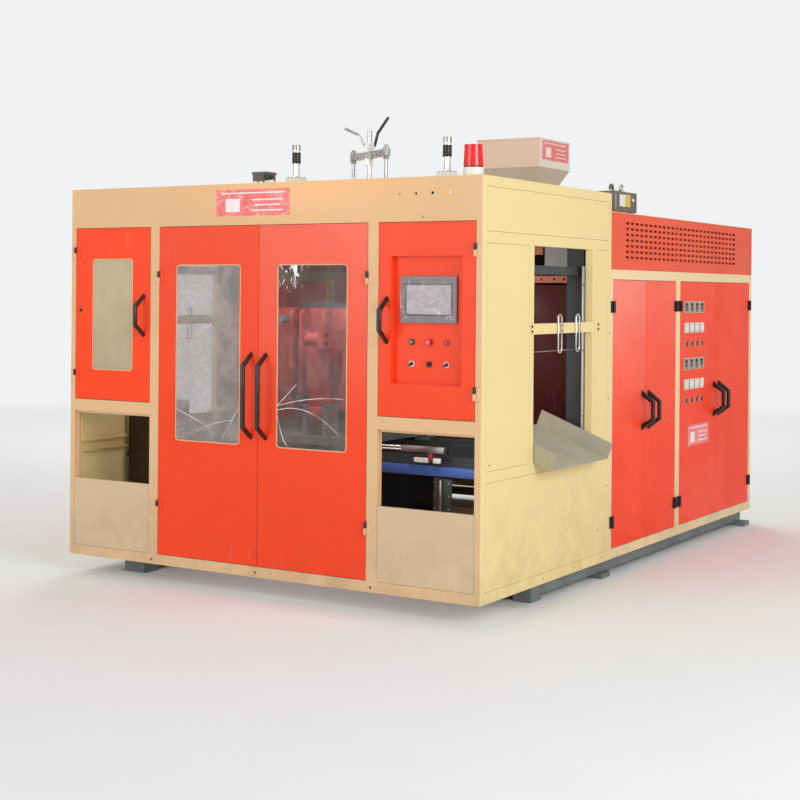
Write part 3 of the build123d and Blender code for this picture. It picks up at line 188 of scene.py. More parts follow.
def plate(name, middle, width, height, thickness, facing, corner=0.0, rounding=0.0, hole=None):
    """A flat plate that stands on the given middle and grows outwards, with a window if hole is its border."""
    clear_selection()
    bpy.ops.mesh.primitive_plane_add(size=1)
    piece = bpy.context.object
    piece.name = name
    piece.scale = (width, height, 1)
    settle(piece)
    bpy.ops.object.mode_set(mode="EDIT")
    if corner:
        bpy.ops.mesh.select_mode(type="VERT")
        bpy.ops.mesh.select_all(action="SELECT")
        bpy.ops.mesh.bevel(affect="VERTICES", offset=corner, segments=6)
    if hole:
        bpy.ops.mesh.select_mode(type="FACE")
        bpy.ops.mesh.select_all(action="SELECT")
        bpy.ops.mesh.inset(thickness=hole)
        bpy.ops.mesh.delete(type="FACE")
    bpy.ops.object.mode_set(mode="OBJECT")
    modify(piece, "SOLIDIFY", thickness=thickness, offset=1)
    if rounding:
        round_edges(piece, rounding)
    piece.rotation_euler = facings[facing]
    piece.location = middle
    settle(piece)
    return piece


def pick_faces(piece, wanted):
    """Enter edit mode with the faces selected whose middle and normal are wanted."""
    work_on(piece)
    bpy.ops.object.mode_set(mode="EDIT")
    bpy.ops.mesh.select_mode(type="FACE")
    bpy.ops.mesh.select_all(action="DESELECT")
    bpy.ops.object.mode_set(mode="OBJECT")
    for face in piece.data.polygons:
        face.select = wanted(face.center, face.normal)
    bpy.ops.object.mode_set(mode="EDIT")


def pick_points(piece, wanted):
    """Enter edit mode with the points selected whose place is wanted."""
    work_on(piece)
    bpy.ops.object.mode_set(mode="EDIT")
    bpy.ops.mesh.select_mode(type="VERT")
    bpy.ops.mesh.select_all(action="DESELECT")
    bpy.ops.object.mode_set(mode="OBJECT")
    for point in piece.data.vertices:
        point.select = wanted(point.co)
    bpy.ops.object.mode_set(mode="EDIT")


def leave_edit():
    """Back to object mode."""
    bpy.ops.object.mode_set(mode="OBJECT")


def step_in(piece, wanted, border, depth):
    """Inset the wanted faces and move them along their normal, inwards for a negative depth."""
    pick_faces(piece, wanted)
    bpy.ops.mesh.inset(thickness=border, depth=0)
    bpy.ops.mesh.extrude_region_shrink_fatten(TRANSFORM_OT_shrink_fatten={"value": depth})
    leave_edit()


def copy_of(piece, name, place=(0, 0, 0), turn=0.0):
    """A copy with a mesh of its own, turned about the upright and then moved."""
    work_on(piece)
    bpy.ops.object.duplicate(linked=False)
    made = bpy.context.object
    made.name = name
    made.rotation_euler = (0, 0, turn)
    made.location = place
    settle(made)
    return made


def other_side(piece, name):
    """A mirrored copy on the other side of the machine."""
    work_on(piece)
    bpy.ops.object.duplicate(linked=False)
    made = bpy.context.object
    made.name = name
    made.scale = (-1, 1, 1)
    settle(made)
    bpy.ops.object.mode_set(mode="EDIT")
    bpy.ops.mesh.select_all(action="SELECT")
    bpy.ops.mesh.normals_make_consistent(inside=False)
    bpy.ops.object.mode_set(mode="OBJECT")
    return made


def put_away(*pieces):
    """Take away the pattern pieces that only served for copies."""
    clear_selection()
    for piece in pieces:
        piece.select_set(True)
    bpy.ops.object.delete()


def joined(name, pieces):
    """Several pieces as one."""
    clear_selection()
    for piece in pieces:
        piece.select_set(True)
    bpy.context.view_layer.objects.active = pieces[0]
    bpy.ops.object.join()
    made = bpy.context.object
    made.name = name
    return made


def coat(piece, finish):
    """Give a piece its finish."""
    piece.data.materials.clear()
    piece.data.materials.append(bpy.data.materials[finish])
    return piece


def mount(piece, body, angle=35):
    """Smooth a finished piece and let it ride on its body."""
    work_on(piece)
    bpy.ops.object.shade_smooth_by_angle(angle=math.radians(angle))
    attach(piece, body)
    clear_selection()
    return piece


def paint_node(node, finish):
    """Give a CAD node its finish."""
    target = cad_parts[node]
    if not target.material_slots:
        target.data.materials.append(bpy.data.materials[finish])
    for place in target.material_slots:
        place.material = bpy.data.materials[finish]


# Shader work
def wire(tree, kind, inputs=None, **settings):
    """A node with its settings, and its inputs as plain values or other nodes' outputs."""
    made = tree.nodes.new(kind)
    for name, value in settings.items():
        setattr(made, name, value)
    for name, value in (inputs or {}).items():
        if isinstance(value, bpy.types.NodeSocket):
            tree.links.new(value, made.inputs[name])
        else:
            made.inputs[name].default_value = value
    return made


def object_place(tree):
    """The point on the object, in its own coordinates."""
    return wire(tree, "ShaderNodeTexCoord").outputs["Object"]


def noise(tree, scale, detail=3.0, roughness=0.55, vector=None, distortion=0.0):
    """A cloud pattern from 0 to 1."""
    inputs = {"Scale": scale, "Detail": detail, "Roughness": roughness, "Distortion": distortion}
    inputs["Vector"] = vector or object_place(tree)
    return wire(tree, "ShaderNodeTexNoise", inputs).outputs["Fac"]


def spread(tree, value, low, high, to_low=0.0, to_high=1.0):
    """A value moved from one range to another and held there."""
    inputs = {"Value": value, "From Min": low, "From Max": high, "To Min": to_low, "To Max": to_high}
    return wire(tree, "ShaderNodeMapRange", inputs).outputs["Result"]


def sums(tree, operation, first, second=0.0):
    """One sum of two values."""
    return wire(tree, "ShaderNodeMath", {0: first, 1: second}, operation=operation).outputs[0]


def mixed(tree, factor, first, second, blend="MIX"):
    """Two colours mixed by a factor."""
    made = wire(tree, "ShaderNodeMix", data_type="RGBA", blend_type=blend)
    for socket, value in ((made.inputs[0], factor), (made.inputs[6], first), (made.inputs[7], second)):
        if isinstance(value, bpy.types.NodeSocket):
            tree.links.new(value, socket)
        else:
            socket.default_value = value
    return made.outputs[2]


def stretched(tree, scale):
    """The object's coordinates stretched by a scale on each axis."""
    return wire(tree, "ShaderNodeMapping", {"Vector": object_place(tree), "Scale": scale}).outputs["Vector"]


def axes(tree):
    """The object's coordinates as three values."""
    parts = wire(tree, "ShaderNodeSeparateXYZ", {"Vector": object_place(tree)})
    return parts.outputs["X"], parts.outputs["Y"], parts.outputs["Z"]


def new_group(name, inputs, outputs):
    """A shader group with named inputs and outputs."""
    group = bpy.data.node_groups.new(name, "ShaderNodeTree")
    kinds = {"colour": "NodeSocketColor", "value": "NodeSocketFloat", "vector": "NodeSocketVector"}
    for label, kind, default in inputs:
        socket = group.interface.new_socket(name=label, in_out="INPUT", socket_type=kinds[kind])
        socket.default_value = default
    for label, kind in outputs:
        group.interface.new_socket(name=label, in_out="OUTPUT", socket_type=kinds[kind])
    return group, group.nodes.new("NodeGroupInput"), group.nodes.new("NodeGroupOutput")


def use_group(tree, name, inputs):
    """A group placed in a material with its own values."""
    made = tree.nodes.new("ShaderNodeGroup")
    made.node_tree = bpy.data.node_groups[name]
    for label, value in inputs.items():
        if isinstance(value, bpy.types.NodeSocket):
            tree.links.new(value, made.inputs[label])
        else:
            made.inputs[label].default_value = value
    return made.outputs


def build_groups():
    """The effects that several finishes share."""
    pale = (0.8, 0.8, 0.8, 1)
    tree, given, out = new_group(
        "sprayed paint",
        [("Paint", "colour", pale), ("Shade", "colour", pale), ("Patch Scale", "value", 2.0),
         ("Grain Scale", "value", 600.0), ("Streak", "value", 0.3)],
        [("Colour", "colour"), ("Patch", "value"), ("Height", "value")],
    )
    cloud = noise(tree, given.outputs["Patch Scale"], 4.0, 0.6, distortion=0.4)
    runs = noise(tree, 5.0, 3.0, 0.6, stretched(tree, (7.0, 7.0, 0.5)))
    patch = spread(tree, cloud, 0.35, 0.68)
    streak = sums(tree, "MULTIPLY", spread(tree, runs, 0.4, 0.75), given.outputs["Streak"])
    factor = spread(tree, sums(tree, "ADD", sums(tree, "MULTIPLY", patch, 0.75), streak), 0.0, 1.3)
    colour = mixed(tree, factor, given.outputs["Paint"], given.outputs["Shade"])
    grain = noise(tree, given.outputs["Grain Scale"], 2.0, 0.5)
    tree.links.new(colour, out.inputs["Colour"])
    tree.links.new(patch, out.inputs["Patch"])
    tree.links.new(grain, out.inputs["Height"])

    tree, given, out = new_group(
        "shop dirt",
        [("Colour", "colour", pale), ("Dirt", "colour", pale), ("Amount", "value", 0.4), ("Reach", "value", 0.7)],
        [("Colour", "colour"), ("Mask", "value")],
    )
    height = axes(tree)[2]
    low_down = wire(
        tree, "ShaderNodeMapRange",
        {"Value": height, "From Min": given.outputs["Reach"], "From Max": 0.08, "To Min": 0.0, "To Max": 1.0},
    ).outputs["Result"]
    upward = wire(tree, "ShaderNodeSeparateXYZ", {"Vector": wire(tree, "ShaderNodeNewGeometry").outputs["Normal"]})
    lying = spread(tree, upward.outputs["Z"], 0.6, 0.95)
    clouds = spread(tree, noise(tree, 6.0, 6.0, 0.65, distortion=0.6), 0.38, 0.68)
    specks = spread(tree, noise(tree, 60.0, 3.0, 0.6), 0.66, 0.74)
    settled = sums(tree, "MULTIPLY", sums(tree, "MAXIMUM", low_down, lying), clouds)
    splashed = sums(tree, "MULTIPLY", specks, sums(tree, "ADD", sums(tree, "MULTIPLY", low_down, 0.7), 0.12))
    mask = sums(tree, "MULTIPLY", sums(tree, "MAXIMUM", settled, splashed), given.outputs["Amount"])
    tree.links.new(mixed(tree, mask, given.outputs["Colour"], given.outputs["Dirt"]), out.inputs["Colour"])
    tree.links.new(mask, out.inputs["Mask"])

    tree, given, out = new_group(
        "fine scratches",
        [("Amount", "value", 0.5), ("Scale", "value", 3.0)],
        [("Mask", "value")],
    )
    masks = []
    for turn, stretch in ((0.5, (60.0, 60.0, 2.4)), (-0.9, (40.0, 40.0, 1.6))):
        lie = wire(
            tree, "ShaderNodeMapping",
            {"Vector": object_place(tree), "Rotation": (turn, turn * 0.6, turn), "Scale": stretch},
        ).outputs["Vector"]
        lines = noise(tree, given.outputs["Scale"], 2.0, 0.5, lie)
        masks.append(spread(tree, lines, 0.70, 0.73))
    thin = noise(tree, 1.8, 2.0, 0.5)
    both = sums(tree, "MULTIPLY", sums(tree, "MAXIMUM", *masks), spread(tree, thin, 0.5, 0.7))
    tree.links.new(sums(tree, "MULTIPLY", both, given.outputs["Amount"]), out.inputs["Mask"])

    tree, given, out = new_group(
        "drawn metal",
        [("Metal", "colour", pale), ("Stain", "colour", pale), ("Along", "vector", (1.0, 1.0, 1.0)),
         ("Scale", "value", 60.0)],
        [("Colour", "colour"), ("Roughness", "value"), ("Height", "value")],
    )
    lie = wire(tree, "ShaderNodeVectorMath", {0: object_place(tree), 1: given.outputs["Along"]}, operation="MULTIPLY")
    lines = noise(tree, given.outputs["Scale"], 4.0, 0.65, lie.outputs["Vector"])
    stains = spread(tree, noise(tree, 9.0, 5.0, 0.6, distortion=0.5), 0.42, 0.7)
    tree.links.new(
        mixed(tree, stains, given.outputs["Metal"], given.outputs["Stain"]), out.inputs["Colour"],
    )
    tree.links.new(spread(tree, lines, 0.3, 0.7, 0.16, 0.42), out.inputs["Roughness"])
    tree.links.new(lines, out.inputs["Height"])

    tree, given, out = new_group(
        "cast skin",
        [("Metal", "colour", pale), ("Worn", "colour", pale), ("Scale", "value", 40.0)],
        [("Colour", "colour"), ("Height", "value")],
    )
    rough = noise(tree, given.outputs["Scale"], 6.0, 0.7)
    wear = spread(tree, noise(tree, 7.0, 5.0, 0.65, distortion=0.7), 0.45, 0.72)
    tree.links.new(mixed(tree, wear, given.outputs["Metal"], given.outputs["Worn"]), out.inputs["Colour"])
    tree.links.new(rough, out.inputs["Height"])

    tree, given, out = new_group(
        "film creases",
        [("Scale", "value", 6.0), ("Width", "value", 0.08)],
        [("Mask", "value"), ("Height", "value")],
    )
    ridges = noise(tree, given.outputs["Scale"], 3.0, 0.6, distortion=1.2)
    fold = sums(tree, "ABSOLUTE", sums(tree, "SUBTRACT", ridges, 0.5))
    crease = wire(
        tree, "ShaderNodeMapRange",
        {"Value": fold, "From Min": 0.0, "From Max": given.outputs["Width"], "To Min": 1.0, "To Max": 0.0},
    ).outputs["Result"]
    tree.links.new(crease, out.inputs["Mask"])
    tree.links.new(ridges, out.inputs["Height"])


def surface(name):
    """A new material with its surface shader, ready for its colours."""
    material = bpy.data.materials.new(name)
    material.use_nodes = True
    tree = material.node_tree
    tree.nodes.clear()
    shader = tree.nodes.new("ShaderNodeBsdfPrincipled")
    output = tree.nodes.new("ShaderNodeOutputMaterial")
    tree.links.new(shader.outputs[0], output.inputs["Surface"])
    return tree, shader


def raise_surface(tree, shader, height, strength, distance):
    """Let a height pattern stand on the surface."""
    bump = wire(tree, "ShaderNodeBump", {"Height": height, "Strength": strength, "Distance": distance})
    tree.links.new(bump.outputs["Normal"], shader.inputs["Normal"])


def sheet_paint(name, paint, shade, dirt=0.3, rough=0.42, coat_weight=0.04, grime=(96, 84, 66), zones=None, reach=0.7):
    """A sprayed sheet metal paint with patches, runs, grime low down and fine scratches."""
    tree, shader = surface(name)
    sprayed = use_group(tree, "sprayed paint", {"Paint": opaque(paint), "Shade": opaque(shade)})
    colour = sprayed["Colour"]
    if zones:
        colour = zones(tree, colour)
    dirty = use_group(
        tree, "shop dirt",
        {"Colour": colour, "Dirt": opaque(tint(*grime)), "Amount": dirt, "Reach": reach},
    )
    scratches = use_group(tree, "fine scratches", {"Amount": 0.35})
    worn = mixed(tree, scratches["Mask"], dirty["Colour"], opaque([0.5 * part + 0.35 for part in paint]))
    tree.links.new(worn, shader.inputs["Base Color"])
    tree.links.new(spread(tree, sprayed["Patch"], 0.0, 1.0, rough - 0.05, rough + 0.07), shader.inputs["Roughness"])
    shader.inputs["Coat Weight"].default_value = coat_weight
    shader.inputs["Coat Roughness"].default_value = 0.2
    shader.inputs["Specular IOR Level"].default_value = 0.15
    raise_surface(tree, shader, sprayed["Height"], 0.08, 0.001)
    return tree, shader


def metal_finish(name, metal, stain, along, scale=60.0, shine=0.0):
    """A drawn or turned bright metal."""
    tree, shader = surface(name)
    drawn = use_group(
        tree, "drawn metal", {"Metal": opaque(metal), "Stain": opaque(stain), "Along": along, "Scale": scale},
    )
    tree.links.new(drawn["Colour"], shader.inputs["Base Color"])
    tree.links.new(sums(tree, "ADD", drawn["Roughness"], shine), shader.inputs["Roughness"])
    shader.inputs["Metallic"].default_value = 1.0
    raise_surface(tree, shader, drawn["Height"], 0.02, 0.0004)


def casting_finish(name, metal, worn, scale=40.0, rough=0.55):
    """A painted casting with a coarse skin."""
    tree, shader = surface(name)
    cast = use_group(tree, "cast skin", {"Metal": opaque(metal), "Worn": opaque(worn), "Scale": scale})
    dirty = use_group(
        tree, "shop dirt",
        {"Colour": cast["Colour"], "Dirt": opaque(tint(70, 60, 50)), "Amount": 0.45, "Reach": 0.7},
    )
    tree.links.new(dirty["Colour"], shader.inputs["Base Color"])
    shader.inputs["Roughness"].default_value = rough
    raise_surface(tree, shader, cast["Height"], 0.25, 0.002)


def moulded_finish(name, colour, rough=0.35, coat_weight=0.2, fleck=0.12):
    """A moulded plastic with a fine grain and handled patches."""
    tree, shader = surface(name)
    clouds = noise(tree, 40.0, 4.0, 0.6)
    lighter = [min(1.0, part * (1 + fleck) + 0.02 * fleck) for part in colour]
    darker = [part * (1 - 2 * fleck) for part in colour]
    factor = spread(tree, clouds, 0.35, 0.65)
    tree.links.new(mixed(tree, factor, opaque(darker), opaque(lighter)), shader.inputs["Base Color"])
    tree.links.new(spread(tree, clouds, 0.3, 0.7, rough - 0.07, rough + 0.1), shader.inputs["Roughness"])
    shader.inputs["Coat Weight"].default_value = coat_weight
    raise_surface(tree, shader, noise(tree, 900.0, 2.0), 0.1, 0.0004)
    return tree, shader


def pane_finish(name, colour, clear, hazy, rough=0.12, scale=5.0, streaks=(1.0, 1.0, 1.0)):
    """A see-through sheet whose haze lies between a clear and a hazy cover."""
    tree, shader = surface(name)
    haze = noise(tree, scale, 5.0, 0.65, stretched(tree, streaks), distortion=0.5)
    fine = noise(tree, scale * 9.0, 3.0, 0.6)
    factor = sums(tree, "ADD", sums(tree, "MULTIPLY", haze, 0.75), sums(tree, "MULTIPLY", fine, 0.25))
    tree.links.new(spread(tree, factor, 0.38, 0.64, clear, hazy), shader.inputs["Alpha"])
    darker = [part * 0.78 for part in colour]
    tree.links.new(
        mixed(tree, spread(tree, haze, 0.35, 0.65), opaque(darker), opaque(colour)), shader.inputs["Base Color"],
    )
    shader.inputs["Roughness"].default_value = rough
    raise_surface(tree, shader, haze, 0.05, 0.004)
    return tree, shader


class CabinetPaints(bpy.types.PropertyGroup):
    """Colours of the cabinet's sheet metal."""

    # Front cream and side cream are one cream paint as lit on the front and on the sides: painted light.
    front_lit_cream: bpy.props.FloatVectorProperty(
        name="Front cream", description="Cream of the front face", size=3, subtype="COLOR",
        default=tint(224, 184, 138), min=0, max=1,
    )
    side_lit_cream: bpy.props.FloatVectorProperty(
        name="Side cream", description="Yellower cream of the sides", size=3, subtype="COLOR",
        default=tint(234, 212, 152), min=0, max=1,
    )
    door_orange: bpy.props.FloatVectorProperty(
        name="Door orange", description="Orange red of the doors", size=3, subtype="COLOR",
        default=tint(243, 71, 33), min=0, max=1,
    )
    base_grey: bpy.props.FloatVectorProperty(
        name="Base grey", description="Grey of the base channels", size=3, subtype="COLOR",
        default=tint(122, 130, 134), min=0, max=1,
    )
    dirt: bpy.props.FloatProperty(
        name="Dirt", description="How dirty the sheets are low down", default=0.26, min=0, max=1, subtype="FACTOR",
    )


class HandleSizes(bpy.types.PropertyGroup):
    """Sizes of the bow handles."""

    radius: bpy.props.FloatProperty(
        name="Bar radius", description="Radius of the round bar", default=0.0123, unit="LENGTH",
    )
    standoff: bpy.props.FloatProperty(
        name="Stand-off", description="Distance from the sheet to the bar's middle", default=0.068, unit="LENGTH",
    )
    lean: bpy.props.FloatProperty(
        name="Lean", description="How far a leg leans in along the bar", default=0.052, unit="LENGTH",
    )


class VentSizes(bpy.types.PropertyGroup):
    """The field of slots in the vent panels."""

    columns: bpy.props.IntProperty(name="Columns", description="Slots in a row", default=27, min=1)
    rows: bpy.props.IntProperty(name="Rows", description="Rows of slots", default=7, min=1)
    slot_length: bpy.props.FloatProperty(
        name="Slot length", description="Length of a slot", default=0.046, unit="LENGTH",
    )
    slot_height: bpy.props.FloatProperty(
        name="Slot height", description="Height of a slot", default=0.014, unit="LENGTH",
    )
    column_pitch: bpy.props.FloatProperty(
        name="Column pitch", description="From slot to slot along a row", default=0.0685, unit="LENGTH",
    )
    row_pitch: bpy.props.FloatProperty(
        name="Row pitch", description="From row to row", default=0.0317, unit="LENGTH",
    )
    first_slot: bpy.props.FloatProperty(
        name="First slot", description="From the panel's front edge to the first slot's middle", default=0.224,
        unit="LENGTH",
    )
    first_row: bpy.props.FloatProperty(
        name="First row", description="From the panel's lower edge to the first row's middle", default=0.071,
        unit="LENGTH",
    )


class LabelColours(bpy.types.PropertyGroup):
    """Colours of the plain label fields."""

    field: bpy.props.FloatVectorProperty(
        name="Field", description="Red of the label fields", size=3, subtype="COLOR",
        default=tint(236, 92, 92), min=0, max=1,
    )
    mark: bpy.props.FloatVectorProperty(
        name="Mark", description="Pale colour of the shapes on them", size=3, subtype="COLOR",
        default=tint(250, 226, 222), min=0, max=1,
    )


class StageLamps(bpy.types.PropertyGroup):
    """Light of the stage."""

    sky: bpy.props.FloatProperty(name="Sky", description="Strength of the even light", default=0.62, min=0)
    key: bpy.props.FloatProperty(name="Key", description="Power of the lamp before the front", default=280, min=0)
    side: bpy.props.FloatProperty(name="Side", description="Power of the lamp beside the machine", default=325, min=0)
    floor: bpy.props.FloatVectorProperty(
        name="Floor", description="Colour of floor and backdrop", size=3, subtype="COLOR",
        default=tint(240, 242, 244), min=0, max=1,
    )


def settings():
    """The values of the machine's looks."""
    return bpy.context.scene.machine_looks


# Door places: name, face, handle place, handle's lowest point, handle's length, hinge axis, leaf side, hinge sills
side_sills = (1.052, 1.722)
centre_sills = (0.378, 1.590)
rear_sills = (0.268, 1.450)


class Door:
    """Where one door's handle and hinges sit."""

    def __init__(self, body, facing, handle, handle_low, handle_length, axis, leaf, sills):
        self.body = body
        self.facing = facing
        self.handle = handle
        self.handle_low = handle_low
        self.handle_length = handle_length
        self.axis = axis
        self.leaf = leaf
        self.sills = sills

    def spot(self, along, out, height):
        """A point on the door, along its face, out from it and up."""
        if self.facing == "front":
            return Vector((along, face_y - out, height))
        if self.facing == "right":
            return Vector((side_x + out, along, height))
        return Vector((-side_x - out, along, height))

    def turn(self):
        """The turn about the upright from the front to this face."""
        return {"front": 0.0, "right": math.pi / 2, "left": -math.pi / 2}[self.facing]


def all_doors():
    """The twelve doors."""
    doors = [
        Door("front_left_door", "front", -0.765, 1.305, 0.226, -1.2515, 1, side_sills),
        Door("centre_left_door", "front", -0.0465, 0.8, 0.44, -0.6555, 1, centre_sills),
        Door("centre_right_door", "front", 0.0465, 0.8, 0.44, 0.6555, -1, centre_sills),
        Door("control_door", "front", 0.765, 1.305, 0.226, 1.2515, -1, side_sills),
    ]
    rear = (
        (1, 0.048, -0.377, 1),
        (2, 0.141, 0.566, -1),
        (3, 1.234, 0.639, 1),
        (4, 1.327, 1.922, -1),
    )
    for facing in ("right", "left"):
        for number, handle, axis, leaf in rear:
            doors.append(
                Door(f"{facing}_door_{number}", facing, handle, 0.775, 0.226, axis, leaf, rear_sills)
            )
    return doors


class MACHINE_OT_mix_finishes(bpy.types.Operator):
    """Mix every paint, metal and plastic of the machine"""

    bl_idname = "machine.mix_finishes"
    bl_label = "Mix the finishes"

    def execute(self, context):
        build_groups()
        paints = settings().cabinet_paints
        front, side = paints.front_lit_cream, paints.side_lit_cream
        orange = paints.door_orange
        grey = paints.base_grey

        def front_zones(tree, colour):
            """A warm patch in the header as painted reflection, duller towards the bottom, and the folded ends in the
            cream as lit on the sides, painted light.
            """
            across, _, height = axes(tree)
            # Painted reflection: a warm patch in the middle of the header.
            painted_reflection_mask = sums(
                tree, "MULTIPLY",
                spread(tree, sums(tree, "ABSOLUTE", sums(tree, "SUBTRACT", across, 0.3)), 0.9, 0.0),
                spread(tree, height, 1.85, 2.06),
            )
            warm = mixed(tree, painted_reflection_mask, colour, opaque(tint(247, 190, 136)))
            low = mixed(tree, spread(tree, height, 1.2, 0.2, 0.0, 0.6), warm, opaque(tint(212, 182, 144)))
            # Painted light: the folded ends take the cream as lit on the sides.
            end = sums(tree, "GREATER_THAN", sums(tree, "ABSOLUTE", across), side_x - 0.0006)
            return mixed(tree, end, low, opaque(side))

        # Painted light: the front and side creams are one paint as lit on each face.
        sheet_paint(
            "cream as lit on the front", front, [part * 0.93 for part in front], dirt=paints.dirt, zones=front_zones,
        )
        sheet_paint("cream as lit on the sides", side, [part * 0.95 for part in side], dirt=paints.dirt * 0.8)

        def post_zones(tree, colour):
            """Greyer low down at the back, and a darker orange as painted shade on the frame behind the vent slots."""
            _, along, height = axes(tree)
            greyed = mixed(tree, spread(tree, height, 1.5, 0.2, 0.0, 0.4), colour, opaque(tint(214, 198, 160)))
            # Painted shade: darker orange on the frame behind the vent slots.
            above = sums(tree, "GREATER_THAN", height, vent_low.z + 0.002)
            between = sums(tree, "LESS_THAN", sums(tree, "ABSOLUTE", sums(tree, "SUBTRACT", along, 0.79)), 1.1)
            return mixed(tree, sums(tree, "MULTIPLY", above, between), greyed, opaque(tint(196, 70, 46)))

        sheet_paint(
            "cream rear paint", tint(240, 214, 168), tint(232, 208, 158), dirt=paints.dirt, zones=post_zones,
        )
        # The duller cream as lit on the lower front panels: painted shade.
        sheet_paint("lower panel paint in painted shade", tint(209, 184, 150), tint(198, 174, 142), dirt=0.5)

        def panel_zones(tree, colour):
            """The lower front panels take the duller cream as lit on the front, painted shade."""
            across, along, _ = axes(tree)
            before = sums(tree, "LESS_THAN", along, face_y + 0.025)
            return mixed(tree, before, colour, opaque(tint(209, 184, 150)))

        sheet_paint(
            "panel paint", side, [part * 0.95 for part in side], dirt=paints.dirt, zones=panel_zones,
        )

        def painted_sky_reflection(sky_reflection, low, high):
            """A painted sky reflection: a pale pink sheen that fades from one height to another."""

            def zones(tree, colour):
                height = axes(tree)[2]
                clouds = spread(tree, noise(tree, 1.3, 3.0, 0.6), 0.3, 0.7, 0.6, 1.0)
                # Painted reflection: pale pink rising with height.
                fade = sums(tree, "MULTIPLY", spread(tree, height, low, high, 0.0, sky_reflection), clouds)
                return mixed(tree, fade, colour, opaque(tint(255, 168, 150)))

            return zones

        def with_black_fittings(zones):
            """Black for what stands out from the side sheets, such as hinge leaves."""

            def both(tree, colour):
                across = sums(tree, "ABSOLUTE", axes(tree)[0])
                out = sums(tree, "GREATER_THAN", across, side_x + 0.0008)
                return mixed(tree, out, zones(tree, colour), opaque(tint(34, 28, 27)))

            return both

        darker = [part * 0.9 for part in orange]
        sheet_paint("left door paint", [part * 1.06 for part in orange], orange, dirt=0.12, rough=0.34, coat_weight=0.06,
                    grime=(150, 60, 40), zones=painted_sky_reflection(0.04, 1.0, 1.9))
        sheet_paint("centre left door paint", orange, darker, dirt=0.15, rough=0.34, coat_weight=0.06,
                    grime=(150, 60, 40), zones=painted_sky_reflection(0.1, 0.9, 1.9))
        sheet_paint("centre right door paint", orange, darker, dirt=0.15, rough=0.32, coat_weight=0.08,
                    grime=(150, 60, 40), zones=painted_sky_reflection(0.3, 0.9, 1.85))
        sheet_paint("control door paint", orange, [part * 0.94 for part in orange], dirt=0.15, rough=0.34,
                    coat_weight=0.06, grime=(150, 60, 40), zones=painted_sky_reflection(0.02, 1.0, 1.9))
        side_orange = tint(251, 66, 22)
        side_shade = tint(236, 58, 20)
        # How strong the painted sky reflection is on each side door.
        sky_reflection_amounts = {1: 0.62, 2: 0.32, 3: 0.1, 4: 0.06}
        for number, sky_reflection in sky_reflection_amounts.items():
            sheet_paint(
                f"side door paint {number}", side_orange, side_shade, dirt=0.12, rough=0.36, coat_weight=0.02,
                grime=(150, 60, 40), zones=with_black_fittings(painted_sky_reflection(sky_reflection, 0.7, 1.6)),
            )
        sheet_paint("vent paint", tint(236, 92, 60), tint(226, 86, 58), dirt=0.15, rough=0.4,
                    grime=(150, 70, 50))
        sheet_paint("base paint", grey, [part * 0.86 for part in grey], dirt=0.5, grime=(80, 74, 66), rough=0.5)
        sheet_paint("portal paint", tint(74, 78, 80), tint(58, 61, 63), dirt=0.35, grime=(104, 92, 76))
        sheet_paint("roof paint", tint(228, 210, 168), tint(219, 202, 162), dirt=0.08)
        sheet_paint("white paint", tint(232, 230, 224), tint(220, 218, 210), dirt=0.3)
        sheet_paint("grey box paint", tint(188, 190, 190), tint(176, 178, 178), dirt=0.2)
        sheet_paint("blue machine paint", tint(84, 116, 190), tint(70, 98, 168), dirt=0.15)
        sheet_paint("dark machine paint", tint(44, 46, 50), tint(36, 38, 42), dirt=0.35)
        # Dark brown: painted shade inside the left lower bay.
        sheet_paint("bay painted shade", tint(66, 50, 34), tint(54, 41, 28), dirt=0.3)
        # An inner orange sheet behind the vent slots, its darker orange painted shade seen through the slots.
        sheet_paint("liner paint in painted shade", tint(206, 74, 48), tint(190, 66, 44), dirt=0.2)
        def hopper_zones(tree, colour):
            """A painted highlight whiter on the right face, and painted shade grey under the slopes."""
            facing = wire(
                tree, "ShaderNodeSeparateXYZ", {"Vector": wire(tree, "ShaderNodeNewGeometry").outputs["Normal"]},
            )
            across = spread(tree, facing.outputs["X"], 0.4, 0.8)
            painted_highlight_colour = mixed(tree, across, colour, opaque(tint(232, 224, 216)))
            # Painted shade: grey under the slopes.
            under = spread(tree, facing.outputs["Z"], -0.15, -0.4)
            return mixed(tree, under, painted_highlight_colour, opaque(tint(196, 184, 172)))

        sheet_paint("hopper paint", tint(232, 196, 176), tint(226, 206, 188), dirt=0.12, rough=0.38, zones=hopper_zones)
        sheet_paint("brown grey paint", tint(120, 112, 104), tint(98, 92, 86), dirt=0.3)
        sheet_paint("chute paint", tint(190, 183, 163), tint(174, 167, 148), dirt=0.22, grime=(130, 120, 98), reach=1.2)
        # Dark red: painted shade standing in for red castings in shadow.
        sheet_paint("red sheet in painted shade", tint(96, 34, 32), tint(74, 28, 28), dirt=0.3)
        sheet_paint("pink plate paint", tint(226, 142, 118), tint(210, 124, 100), dirt=0.2)

        def hinge_zones(tree, colour):
            """Cream on the front, black beside the rear doors."""
            behind = sums(tree, "GREATER_THAN", axes(tree)[1], face_y + 0.5)
            return mixed(tree, behind, colour, opaque(tint(34, 28, 27)))

